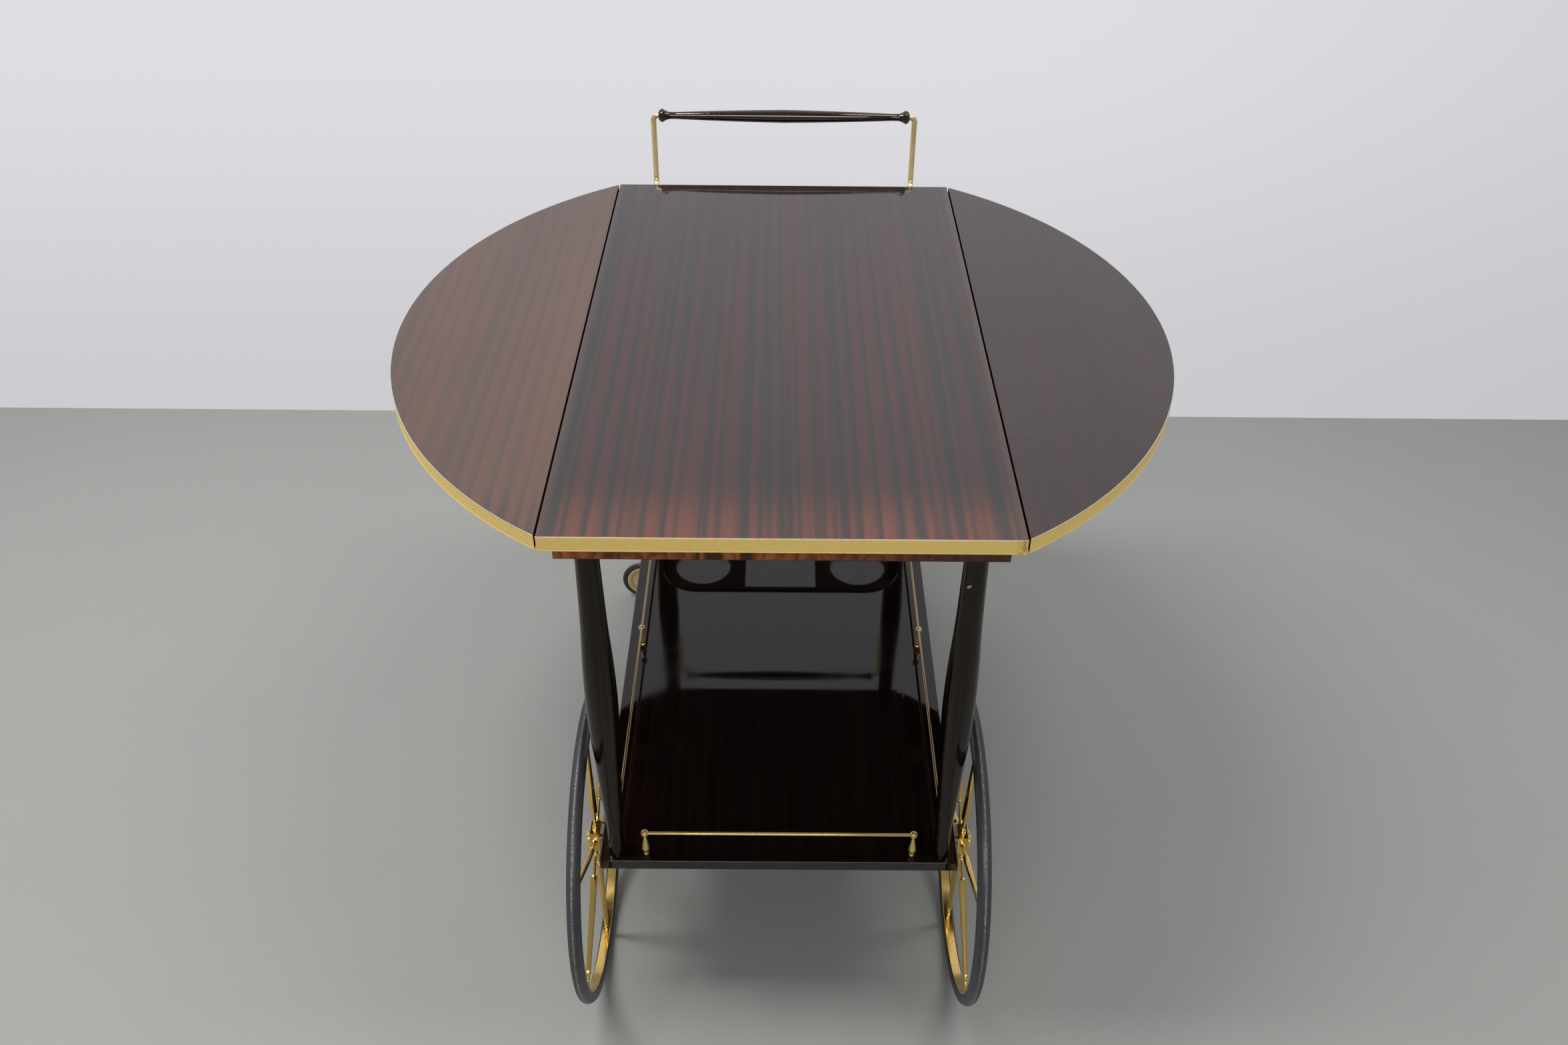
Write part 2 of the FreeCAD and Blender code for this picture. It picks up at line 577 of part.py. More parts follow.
def handle_rod(side, sign):
    # out of the leg along Y, up through a wide bend, and through a tight one into the grip
    x, y, z, top = number(rod_x), number(grip_y), number(rod_z), number(grip_z)
    radius, bend, tight = number("rod_radius"), number("rod_bend"), number("rod_turn")
    diagonal = math.sqrt(0.5)
    points = [Vector(x, number(rod_start), z), Vector(x, y - bend, z),
              Vector(x, y - bend + bend * diagonal, z + bend - bend * diagonal),
              Vector(x, y, z + bend), Vector(x, y, top - tight),
              Vector(x - tight + tight * diagonal, y, top - tight + tight * diagonal),
              Vector(x - tight, y, top)]
    edges = [Part.LineSegment(points[0], points[1]), Part.Arc(points[1], points[2], points[3]),
             Part.LineSegment(points[3], points[4]), Part.Arc(points[4], points[5], points[6])]
    path = Part.Wire([edge.toShape() for edge in edges])
    section = Part.Wire([Part.Circle(points[0], Vector(0, 1, 0), radius).toShape()])
    rod = path.makePipeShell([section], True, True)
    inward = Vector(-1, 0, 0)
    shank = Part.makeCylinder(radius, number("rod_shank - rest_clearance"), points[6], inward)
    peg = Part.makeCylinder(number("peg_radius"), number("rod_shank + grip_socket"), points[6], inward)
    shape = rod.fuse([shank, peg]).removeSplitter()
    if sign < 0:
        shape = shape.mirror(Vector(), Vector(1, 0, 0))
    piece = doc.addObject("Part::Feature", f"handle_rod_{side}")
    piece.Shape = shape
    return piece


# a spoke's body starts at its height above the hub's centre and ends at its depth below the rim
spoke_tip = f"({rim_inner} - spoke_body_end)"
spoke_outline = [
    ("0", "hub_flat_radius"), ("spoke_collar_radius", "hub_flat_radius"),
    ("spoke_collar_radius", "hub_flat_radius + spoke_collar_radius * 0.7"),
    ("spoke_neck_radius", "hub_flat_radius + spoke_collar_radius", "-spoke_neck_radius / 8"),
    ("spoke_neck_radius * 0.85", "spoke_body_start"),
    ("spoke_root_radius", "spoke_body_start + spoke_root_radius / 4"),
    ("spoke_tip_radius", spoke_tip),
    ("spoke_ring_radius", f"{spoke_tip} + spoke_ring_radius / 3"),
    ("spoke_ring_radius", f"{spoke_tip} + spoke_ring_radius * 0.8"),
    ("spoke_pin_radius", f"{spoke_tip} + spoke_ring_radius * 1.2", "spoke_pin_radius / 4"),
    ("spoke_pin_radius", f"{rim_inner} + spoke_seat"), ("0", f"{rim_inner} + spoke_seat"),
]


def spoke_turns(side):
    # each spoke's turn about X from pointing up; the wheel's own turn is measured from level
    first = 90 - number(f"{side}_wheel_turn")
    count = int(number("spoke_count"))
    return [first + step * 360 / count for step in range(count)]


def build_wheel(side):
    sign = sides[side]
    x, y, z = f"{sign} * {wheel_x}", wheel_y, "wheel_radius"
    at = (x, y, z)

    # hexagonal hub with a flat for each spoke
    prism = doc.addObject("Part::Prism", f"wheel_hub_{side}_block")
    prism.setExpression("Polygon", formula("spoke_count"))
    prism.setExpression("Circumradius", formula("hub_flat_radius / cos(180deg / spoke_count)"))
    prism.setExpression("Height", formula("hub_width"))
    half_step = 180 / number("spoke_count")
    turn = Rotation(Vector(1, 0, 0), spoke_turns(side)[0] + half_step - 180).multiply(along_x)
    put(prism, (f"{x} - hub_width / 2", y, z), turn)
    bore = disc_on_x(f"wheel_hub_{side}_bore", "axle_radius + running_clearance", "hub_width + 2",
                     sign, wheel_x, y, z)
    keep(cut(f"wheel_hub_{side}", prism, bore))

    spokes, pin_holes = [], []
    for index, degrees in enumerate(spoke_turns(side), 1):
        lean = Rotation(Vector(1, 0, 0), degrees)
        spokes.append(turned(f"wheel_spoke_{side}_{index}", spoke_outline, at, lean))
        way = lean.multVec(Vector(0, 0, 1))
        start = (x, f"{y} + {way.y} * ({rim_inner} - 1)", f"{z} + {way.z} * ({rim_inner} - 1)")
        pin_holes.append(cylinder(f"rim_hole_{side}_{index}", "spoke_pin_radius + seat_clearance",
                                  "rim_thickness + 2", start, lean))
    keep(group(f"wheel_spokes_{side}", spokes))

    rim_disc = disc_on_x(f"wheel_rim_{side}_disc", rim_outer, "rim_width", sign, wheel_x, y, z)
    rim_bore = disc_on_x(f"wheel_rim_{side}_bore", rim_inner, "rim_width + 2", sign, wheel_x, y, z)
    keep(cut(f"wheel_rim_{side}", cut(f"wheel_rim_{side}_plain", rim_disc, rim_bore), *pin_holes))

    ring = primitive("Torus", f"wheel_tyre_{side}_ring",
                     {"Radius1": "wheel_radius - tyre_section / 2", "Radius2": "tyre_section / 2"},
                     at, along_x)
    seat = disc_on_x(f"wheel_tyre_{side}_seat", f"{rim_outer} + seat_clearance", "2 * tyre_section",
                     sign, wheel_x, y, z)
    keep(cut(f"wheel_tyre_{side}", ring, seat))


def build_axle():
    y, z = wheel_y, "wheel_radius"
    cap_start = f"({wheel_x} + hub_width / 2 + rest_clearance)"
    length = f"(2 * ({cap_start} + cap_height / 2))"
    keep(cylinder("axle", "axle_radius", length, (f"-{length} / 2", y, z), along_x))
    # a flanged cap with a low dome and a small flat at its crown
    outline = [("0", "0"), ("cap_radius", "0"), ("cap_radius", "cap_height / 3"),
               ("cap_dome_radius", "cap_height / 3", "cap_height / 6"),
               ("cap_flat_radius", "cap_height"), ("0", "cap_height")]
    caps, brackets = [], []
    for side, sign in sides.items():
        turn = along_x if sign > 0 else Rotation(Vector(0, 1, 0), -90)
        cap = turned(f"axle_cap_{side}_plain", outline, (f"{sign} * {cap_start}", y, z), turn)
        hole = disc_on_x(f"axle_cap_{side}_bore", "axle_radius + seat_clearance",
                         "cap_height + 2 * seat_clearance", sign, cap_start, y, z)
        caps.append(cut(f"axle_cap_{side}", cap, hole))
        # saddle block that hangs the axle under the shelf
        middle = f"{sign} * {bracket_x}"
        tall = "axle_drop + axle_radius + bracket_wall"
        saddle = block(f"axle_bracket_{side}_block", "bracket_width", "bracket_length", tall,
                       middle, y, f"{shelf_bottom} - ({tall})")
        saddle_bore = disc_on_x(f"axle_bracket_{side}_bore", "axle_radius + seat_clearance",
                                "bracket_width + 2", sign, bracket_x, y, z)
        brackets.append(cut(f"axle_bracket_{side}", saddle, saddle_bore))
    keep(group("axle_caps", caps))
    keep(group("axle_brackets", brackets))


def fork_cheek(label, way):
    # flat cheek from the crown down to the eye that holds the wheel's pin
    drop = f"({crown_middle} - caster_radius)"
    slant = f"sqrt(caster_trail^2 + {drop}^2)"
    lean_x, lean_z = f"fork_eye_radius * {drop} / {slant}", f"fork_eye_radius * caster_trail / {slant}"
    body = doc.addObject("PartDesign::Body", f"{label}_plate")
    draw_outline(new_sketch(body, "XZ_Plane"), [
        ("-fork_root", crown_middle),
        (f"caster_trail - {lean_x}", f"caster_radius - {lean_z}"),
        (f"caster_trail + {lean_x}", f"caster_radius + {lean_z}"),
        ("fork_root", crown_middle)])
    pad = body.newObject("PartDesign::Pad", f"{label}_pad")
    pad.Profile = doc.getObject(f"{label}_plate_outline")
    pad.setExpression("Length", formula("fork_thickness"))
    middle = f"{way} * (caster_boss_width / 2 + side_clearance + fork_thickness / 2)"
    put(body, ("0", f"{middle} + fork_thickness / 2", "0"))
    eye = cylinder(f"{label}_eye", "fork_eye_radius", "fork_thickness",
                   ("caster_trail", f"{middle} - fork_thickness / 2", "caster_radius"), along_y)
    return [body, eye]


def build_caster(side):
    # drawn with the swivel stem on Z and the wheel trailing along +X, then turned into place
    sign = sides[side]
    facing = Rotation(Vector(0, 0, 1), number("caster_turn"))
    at = (f"{sign} * {foot_x}", foot_y, "0")
    x, z = "caster_trail", "caster_radius"

    parts = [cylinder(f"fork_crown_{side}", "crown_radius", "crown_thickness", ("0", "0", crown_bottom)),
             cylinder(f"fork_stem_{side}", "stem_radius", "stem_length + crown_thickness / 2",
                      ("0", "0", crown_middle))]
    for end, way in ends.items():
        parts += fork_cheek(f"fork_{side}_{end}", way)
    pin_half = "(caster_boss_width / 2 + side_clearance + fork_thickness + caster_pin_head)"
    pin_at = (x, f"-{pin_half}", z)
    hole = cylinder(f"fork_hole_{side}", "caster_pin_radius + seat_clearance", f"2 * {pin_half}",
                    pin_at, along_y)
    solid = joined(f"caster_fork_{side}_solid", *parts)
    keep(put(cut(f"caster_fork_{side}", solid, hole), at, facing))
    pin = cylinder(f"caster_pin_{side}_straight", "caster_pin_radius", f"2 * {pin_half}", pin_at, along_y)
    keep(put(group(f"caster_pin_{side}", [pin]), at, facing))

    # dished disc with a boss, turned about the pin
    half, boss = "caster_disc_width / 2", "caster_boss_width / 2"
    bore = "(caster_pin_radius + running_clearance)"
    seat = "(caster_radius - caster_tyre_section)"
    outline = [(bore, f"-{boss}"), ("caster_boss_radius", f"-{boss}"),
               ("caster_boss_radius", f"-{half} / 2", "-caster_disc_width / 8"),
               ("caster_rim_radius", f"-{half}"), (seat, f"-{half}"), (seat, half),
               ("caster_rim_radius", half, "-caster_disc_width / 8"),
               ("caster_boss_radius", f"{half} / 2"), ("caster_boss_radius", boss), (bore, boss)]
    disc = turned(f"caster_disc_{side}_turned", outline, (x, "0", z), along_y)
    keep(put(group(f"caster_disc_{side}", [disc]), at, facing))
    tyre_ring = primitive("Torus", f"caster_tyre_{side}_ring",
                          {"Radius1": "caster_radius - caster_tyre_section / 2",
                           "Radius2": "caster_tyre_section / 2"}, (x, "0", z), along_y)
    tyre_seat = cylinder(f"caster_tyre_{side}_seat", f"{seat} + seat_clearance",
                         "2 * caster_tyre_section", (x, "-caster_tyre_section", z), along_y)
    keep(put(cut(f"caster_tyre_{side}", tyre_ring, tyre_seat), at, facing))

    # ferrule that takes the stem, under a turned foot in line with the leg
    cup = cylinder(f"caster_ferrule_{side}_cup", "ferrule_radius", "ferrule_length",
                   (*at[:2], ferrule_bottom))
    cup_bore = cylinder(f"caster_ferrule_{side}_bore", "stem_radius + running_clearance",
                        "stem_length + 2 * rest_clearance", (*at[:2], crown_top))
    keep(cut(f"caster_ferrule_{side}", cup, cup_bore))
    tall = f"({shelf_bottom} - {ferrule_top})"
    foot = [("0", "0"), ("ferrule_radius", "0"), ("ferrule_radius", f"{tall} / 20"),
            ("foot_waist_radius", f"{tall} / 5", "foot_waist_radius / 10"),
            ("foot_top_radius", f"{tall} * 0.85"), ("foot_top_radius", tall), ("0", tall)]
    keep(turned(f"foot_{side}", foot, (*at[:2], ferrule_top)))


def check_and_export():
    doc.recompute()
    for thing in doc.Objects:
        if "Invalid" in thing.State or "Error" in thing.State:
            raise RuntimeError(f"{thing.Name} failed: {thing.State}")
    os.makedirs("parts", exist_ok=True)
    for piece in pieces:
        if piece.Shape.isNull() or not piece.Shape.isValid():
            raise RuntimeError(f"{piece.Label} has no valid shape")
    for piece in pieces:
        piece.Shape.exportStep(f"parts/{piece.Label}.step")
        print(f"{piece.Label}: {len(piece.Shape.Solids)} solids, {piece.Shape.Volume:.0f} mm3")
    print(len(pieces), "pieces")


build_centre()
build_underboard()
for side in sides:
    build_leaf(side)
build_hinges()
build_stays()
build_legs()
build_shelf()
build_gallery()
build_holder()
build_handle()
for side in sides:
    build_wheel(side)
build_axle()
for side in sides:
    build_caster(side)
check_and_export()
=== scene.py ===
import bmesh
import bpy
import json
import math
import numpy as np
from mathutils import Matrix, Vector


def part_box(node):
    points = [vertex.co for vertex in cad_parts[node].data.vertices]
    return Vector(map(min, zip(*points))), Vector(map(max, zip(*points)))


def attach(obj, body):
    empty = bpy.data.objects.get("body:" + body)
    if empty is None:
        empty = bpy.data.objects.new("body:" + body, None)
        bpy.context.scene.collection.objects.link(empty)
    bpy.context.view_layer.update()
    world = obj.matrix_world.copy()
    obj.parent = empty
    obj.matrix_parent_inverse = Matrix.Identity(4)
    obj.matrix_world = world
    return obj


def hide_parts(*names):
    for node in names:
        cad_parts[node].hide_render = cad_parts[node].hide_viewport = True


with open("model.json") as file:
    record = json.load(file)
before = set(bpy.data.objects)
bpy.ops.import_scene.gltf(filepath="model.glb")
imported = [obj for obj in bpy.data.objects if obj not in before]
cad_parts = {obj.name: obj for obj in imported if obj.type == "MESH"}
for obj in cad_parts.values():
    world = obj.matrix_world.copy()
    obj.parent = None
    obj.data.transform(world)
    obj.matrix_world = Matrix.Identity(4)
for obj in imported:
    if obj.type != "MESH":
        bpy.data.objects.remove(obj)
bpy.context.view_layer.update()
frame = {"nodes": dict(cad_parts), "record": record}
sides, ends = (("left", -1), ("right", 1)), (("near", -1), ("far", 1))
mm = 0.001  # sizes of pieces are written in millimetres, those of the looks and the stage in metres
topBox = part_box("centre_top")
middleY = (topBox[0][1] + topBox[1][1]) / 2  # pieces and patterns are drawn about the middle of the top


# surfaces

def gridShell(points, closeRows=False):
    # one quad per cell of a grid of points; columns join round to the first one, and so do rows where
    # closeRows is set, or else flat caps close the first and last row
    rows, cols = points.shape[:2]
    row = np.arange(rows if closeRows else rows - 1)[:, None]
    col = np.arange(cols)[None, :]
    nextRow, nextCol = (row + 1) % rows, (col + 1) % cols
    corners = [row * cols + col, row * cols + nextCol, nextRow * cols + nextCol, nextRow * cols + col]
    faces = np.stack(corners, -1).reshape(-1, 4).tolist()
    if not closeRows:
        faces += [list(range(cols)), list(range((rows - 1) * cols, rows * cols))]
    return points.reshape(-1, 3), faces


def turnedShell(profile, steps, loop=False):
    # profile of (radius, height) carried round Z: x = r cos a, y = r sin a, z = height
    profile = np.asarray(profile, float)
    angle = np.linspace(0, 2 * np.pi, steps, endpoint=False)
    radius, height = profile[:, :1], profile[:, 1:] + 0 * angle
    return gridShell(np.stack([radius * np.cos(angle), radius * np.sin(angle), height], -1), loop)


def smoothProfile(knots, count):
    # cubic through (height, radius) knots, its slope at a knot taken from the knots on either side
    height, radius = np.array(knots, float).T
    slope = np.gradient(radius, height)
    at = np.linspace(height[0], height[-1], count)
    low = np.clip(np.searchsorted(height, at, side="right") - 1, 0, len(height) - 2)
    span = height[low + 1] - height[low]
    t = (at - height[low]) / span
    start = (2 * t**3 - 3 * t**2 + 1) * radius[low] + (t**3 - 2 * t**2 + t) * span * slope[low]
    end = (3 * t**2 - 2 * t**3) * radius[low + 1] + (t**3 - t**2) * span * slope[low + 1]
    return np.column_stack([start + end, at])


def roundedBar(radius, low, high, edge, steps=4):
    # straight bar profile whose two end edges are quarter circles
    turn = np.linspace(0, np.pi / 2, steps + 1)
    lower = np.column_stack([radius - edge + edge * np.sin(turn), low + edge - edge * np.cos(turn)])
    upper = np.column_stack([radius - edge + edge * np.cos(turn), high - edge + edge * np.sin(turn)])
    return np.concatenate([lower, upper])


def slabShell(outline, low, high):
    # flat outline of (x, y) carried straight up from low to high
    outline = np.asarray(outline, float)
    levels = [np.column_stack([outline, np.full(len(outline), level)]) for level in (low, high)]
    return gridShell(np.stack(levels))


def tubeShell(path, across, radius, steps=24):
    # circle carried along a path; across is the frame's first axis, the other is tangent x across
    tangent = np.gradient(path, axis=0)
    tangent /= np.linalg.norm(tangent, axis=1, keepdims=True)
    first = across - tangent * np.sum(across * tangent, 1, keepdims=True)
    first /= np.linalg.norm(first, axis=1, keepdims=True)
    second = np.cross(tangent, first)
    angle = np.linspace(0, 2 * np.pi, steps, endpoint=False)[None, :, None]
    ring = first[:, None] * np.cos(angle) + second[:, None] * np.sin(angle)
    return gridShell(path[:, None] + ring * radius[:, None, None])


def moved(shell, at, turn=None):
    points, faces = shell
    if turn is not None:
        points = points @ np.array(turn).T
    return points + np.asarray(at, float), faces


alongX = Matrix.Rotation(math.pi / 2, 3, "Y")
alongY = Matrix.Rotation(-math.pi / 2, 3, "X")
rounding = {"segments": 3, "fromAngle": 40}  # degrees


def makePiece(name, shells, look, body, nodes, sharp=34, bevel=0, marks=None):
    # joins closed shells into one mesh, turns its faces outwards and hangs it on its body
    starts = np.cumsum([0] + [len(points) for points, faces in shells])
    points = np.concatenate([points for points, faces in shells]) * mm + (0, middleY, 0)
    faces = [(np.array(face) + start).tolist() for start, shell in zip(starts, shells) for face in shell[1]]
    mesh = bpy.data.meshes.new(name)
    mesh.from_pydata(points.tolist(), [], faces)
    draft = bmesh.new()
    draft.from_mesh(mesh)
    bmesh.ops.recalc_face_normals(draft, faces=draft.faces)
    draft.to_mesh(mesh)
    draft.free()
    for label, values in (marks or {}).items():
        mesh.attributes.new(label, "FLOAT", "POINT").data.foreach_set("value", values.astype(np.float32))
    mesh.shade_smooth()
    mesh.set_sharp_from_angle(angle=math.radians(sharp))
    piece = bpy.data.objects.new(name, mesh)
    bpy.context.scene.collection.objects.link(piece)
    mesh.materials.append(looks[look])
    if bevel:
        edge = piece.modifiers.new("edge", "BEVEL")
        edge.width, edge.segments, edge.harden_normals = bevel * mm, rounding["segments"], True
        edge.limit_method, edge.angle_limit = "ANGLE", math.radians(rounding["fromAngle"])
    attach(piece, body)
    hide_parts(*nodes)


# shader helpers

def addNode(kind, values, **settings):
    # values are numbers or other nodes' outputs, by input name or number; the node joins the outputs' tree
    tree = next(value.id_data for value in values.values() if isinstance(value, bpy.types.NodeSocket))
    node = tree.nodes.new("ShaderNode" + kind)
    for key, value in settings.items():
        setattr(node, key, value)
    for key, value in values.items():
        if isinstance(value, bpy.types.NodeSocket):
            tree.links.new(value, node.inputs[key])
        else:
            node.inputs[key].default_value = value
    return node


def work(operation, first, second=0.0, third=0.0):
    return addNode("Math", {0: first, 1: second, 2: third}, operation=operation).outputs[0]


def times(first, second):
    return work("MULTIPLY", first, second)


def timesPlus(first, second, third):
    return work("MULTIPLY_ADD", first, second, third)


def larger(first, second):
    return work("MAXIMUM", first, second)


def blend(amount, first, second):
    return addNode("Mix", {0: amount, 6: first, 7: second}, data_type="RGBA").outputs[2]


def spread(value, low, high, newLow=0.0, newHigh=1.0):
    # the range low to high stretched to newLow to newHigh, with soft ends
    values = {0: value, 1: low, 2: high, 3: newLow, 4: newHigh}
    return addNode("MapRange", values, interpolation_type="SMOOTHSTEP").outputs[0]


def stretched(vector, scale, shift=(0, 0, 0), turn=(0, 0, 0)):
    values = {"Vector": vector, "Scale": scale, "Location": shift, "Rotation": turn}
    return addNode("Mapping", values).outputs[0]


def noise(vector, scale=1.0, detail=3.0, rough=0.55):
    values = {"Vector": vector, "Scale": scale, "Detail": detail, "Roughness": rough}
    return addNode("TexNoise", values).outputs[0]


def bumped(height, distance, strength):
    values = {"Height": height, "Distance": distance, "Strength": strength}
    return addNode("Bump", values).outputs[0]


def split(vector):
    return addNode("SeparateXYZ", {0: vector}).outputs


def feed(sockets, **outputs):
    for key, value in outputs.items():
        value.id_data.links.new(value, sockets[key.replace("_", " ")])


def newGroup(name, inputs, outputs):
    # a vector and some numbers go in, and numbers come out
    tree = bpy.data.node_groups.new(name, "ShaderNodeTree")
    tree.interface.new_socket("Vector", in_out="INPUT", socket_type="NodeSocketVector")
    for way, labels in (("INPUT", inputs), ("OUTPUT", outputs)):
        for label in labels:
            tree.interface.new_socket(label, in_out=way, socket_type="NodeSocketFloat")
    return tree, tree.nodes.new("NodeGroupInput").outputs, tree.nodes.new("NodeGroupOutput").inputs


ribbon = {
    "swayScale": (5, 1.6, 5), "broadScale": (1, 0.011, 1), "broadBend": 1.6, "waves": 0.7,
    "fineScale": (1, 0.03, 1), "streaks": 5.0, "poreScale": (1900, 110, 1900),
    "poreFrom": (0.58, 0.70), "toneScale": (4, 2, 4), "wave": 0.28, "broad": 0.58,
    "fine": 0.14, "stripeFrom": (0.28, 0.72),
}


def ribbonGrainGroup():
    # stripes along Y: a sine across X and noise drawn out along Y, both bent by a slow wander, with finer
    # streaks; pores are short dark dashes, tone a slow change over the board
    tree, given, out = newGroup("ribbonGrain", ("Stripes per metre", "Wander"), ("Stripe", "Pores", "Tone"))
    slow = noise(stretched(given[0], ribbon["swayScale"]), detail=1)
    sway = times(work("SUBTRACT", slow, 0.5), given[2])
    shift = addNode("CombineXYZ", {0: sway}).outputs[0]
    bent = addNode("VectorMath", {0: given[0], 1: shift}, operation="ADD").outputs[0]
    broad = noise(stretched(bent, ribbon["broadScale"]), given[1], detail=1, rough=0.4)
    even = times(split(bent)[0], times(given[1], ribbon["waves"]))
    turns = timesPlus(broad, ribbon["broadBend"], even)
    wave = timesPlus(work("SINE", times(turns, 2 * math.pi)), 0.5, 0.5)
    streaks = times(given[1], ribbon["streaks"])
    fine = noise(stretched(bent, ribbon["fineScale"]), streaks, detail=3, rough=0.6)
    both = timesPlus(wave, ribbon["wave"], times(broad, ribbon["broad"]))
    both = timesPlus(fine, ribbon["fine"], both)
    feed(out, Stripe=spread(both, *ribbon["stripeFrom"]))
    holes = noise(stretched(bent, ribbon["poreScale"]), detail=1)
    feed(out, Pores=spread(holes, *ribbon["poreFrom"]))
    feed(out, Tone=noise(stretched(given[0], ribbon["toneScale"]), detail=2))
    return tree


handled = {
    "cloudFrom": (0.32, 0.68), "lineScale": (9, 900, 120), "lineSets": ((0.5, 0.0), (-0.9, 3.7)),
    "lineFrom": (0.74, 0.79), "patchScale": (14, 14, 14), "patchFrom": (0.60, 0.68),
    "dots": 260.0, "dotSize": (0.10, 0.20), "rareScale": 60.0, "rareFrom": (0.70, 0.74),
}


def handlingGroup():
    # smudge: soft cloudy patches; scratches: two sets of thin lines, shown only in patches; specks: dots
    tree, given, out = newGroup("handling", ("Patch scale",), ("Smudge", "Scratches", "Specks"))
    cloud = noise(given[0], given[1], detail=4, rough=0.6)
    feed(out, Smudge=spread(cloud, *handled["cloudFrom"]))
    lineSets = []
    for turn, shift in handled["lineSets"]:
        drawn = stretched(given[0], handled["lineScale"], (shift, 0, 0), (0, 0, turn))
        patch = stretched(given[0], handled["patchScale"], (shift, shift, 0))
        thin = spread(noise(drawn, detail=1), *handled["lineFrom"])
        lineSets.append(times(thin, spread(noise(patch, detail=1), *handled["patchFrom"])))
    feed(out, Scratches=larger(*lineSets))
    dots = addNode("TexVoronoi", {"Vector": given[0], "Scale": handled["dots"]}).outputs["Distance"]
    near = spread(dots, *handled["dotSize"], 1.0, 0.0)
    rare = noise(given[0], handled["rareScale"], detail=1)
    feed(out, Specks=times(near, spread(rare, *handled["rareFrom"])))
    return tree


tarnished = {
    "finer": 7.0, "large": 0.7, "small": 0.3, "dullFrom": (0.42, 0.66),
    "pitScale": 420.0, "pitFrom": (0.66, 0.74), "brushScale": 1500.0,
}


def tarnishGroup():
    # dull patches on metal: clouds at two sizes; small dark pits; brushed is a fine even noise
    tree, given, out = newGroup("tarnish", ("Patch scale",), ("Dull", "Pits", "Brushed"))
    large = noise(given[0], given[1], detail=5, rough=0.62)
    small = noise(given[0], times(given[1], tarnished["finer"]), detail=3)
    both = work("ADD", times(large, tarnished["large"]), times(small, tarnished["small"]))
    feed(out, Dull=spread(both, *tarnished["dullFrom"]))
    pits = noise(given[0], tarnished["pitScale"], detail=2)
    feed(out, Pits=spread(pits, *tarnished["pitFrom"]))
    feed(out, Brushed=noise(given[0], tarnished["brushScale"], detail=2))
    return tree


ribbonGrain, handling, tarnish = ribbonGrainGroup(), handlingGroup(), tarnishGroup()


def grained(vector, finish):
    values = {"Vector": vector, "Stripes per metre": finish["stripes"], "Wander": finish["wander"]}
    return addNode("Group", values, node_tree=ribbonGrain).outputs


def aged(group, vector, finish):
    # the handling or tarnish of a surface, in patches of the finish's own size
    values = {"Vector": vector, "Patch scale": finish["patches"]}
    return addNode("Group", values, node_tree=group).outputs


def newLook(name, **plain):
    # a Principled material; plain holds the sockets that are the same all over
    look = bpy.data.materials.new(name)
    look.use_nodes = True
    tree = look.node_tree
    shader = tree.nodes["Principled BSDF"]
    for key, value in plain.items():
        shader.inputs[key.replace("_", " ")].default_value = value
    place = stretched(tree.nodes.new("ShaderNodeTexCoord").outputs["Object"], (1, 1, 1), (0, -middleY, 0))
    return look, place


def dressed(look, colour, rough, height, bump, **others):
    sockets = look.node_tree.nodes["Principled BSDF"].inputs
    feed(sockets, Base_Color=colour, Roughness=rough, Normal=bumped(height, *bump), **others)
    return look


def markOf(look, label):
    # a value that the piece's mesh carries at each point
    node = look.node_tree.nodes.new("ShaderNodeAttribute")
    node.attribute_name = label
    return node.outputs["Fac"]


# looks

# the boards' colours hold painted light: the left leaf's colours are painted lighter, and the near colours
# paint light and shade at the near end
topWood = {
    "Centre": {"dark": (0.0205, 0.0195, 0.0195, 1), "red": (0.048, 0.0205, 0.0195, 1),
               "nearPaintedDark": (0.041, 0.030, 0.028, 1), "nearPaintedRed": (0.138, 0.046, 0.029, 1),
               "scratched": 0.0, "edged": 0.6, "shift": (0, 0, 0)},
    "Left": {"dark": (0.068, 0.046, 0.037, 1), "red": (0.098, 0.051, 0.038, 1),
             "nearPaintedDark": (0.036, 0.031, 0.029, 1), "nearPaintedRed": (0.098, 0.051, 0.037, 1),
             "scratched": 0.0, "edged": 0.0, "shift": (0.37, 0.21, 0)},
    "Right": {"dark": (0.026, 0.0190, 0.0190, 1), "red": (0.034, 0.0185, 0.0185, 1),
              "nearPaintedDark": (0.030, 0.0200, 0.0200, 1), "nearPaintedRed": (0.046, 0.0215, 0.0205, 1),
              "scratched": 0.35, "edged": 0.0, "shift": (-0.53, 0.44, 0)},
    "stripes": 82.0, "wander": 0.006, "patches": 7.0, "paintedNearEnd": (-0.385, -0.285),
    "fading": (0.0, 0.376, 1.0, 0.65), "tone": (0.3, 0.7, 0.9, 1.1),
    "edge": (0.074, 0.046, 0.036, 1), "edgeAt": (0.2040, 0.2152),
    "lowerFacesLightness": 0.35, "polished": (0.6788, 0.6796),
    "pore": (0.010, 0.008, 0.008, 1), "pores": 0.12, "rubbed": (0.30, 0.25, 0.22, 1), "specks": 0.3,
    "seam": 0.21615, "seamWear": (0.0010, 0.0024), "chipScale": 150.0, "chipFrom": (0.69, 0.71),
    "gloss": 0.3, "smudge": 0.2, "bump": (0.0001, 0.3),
}


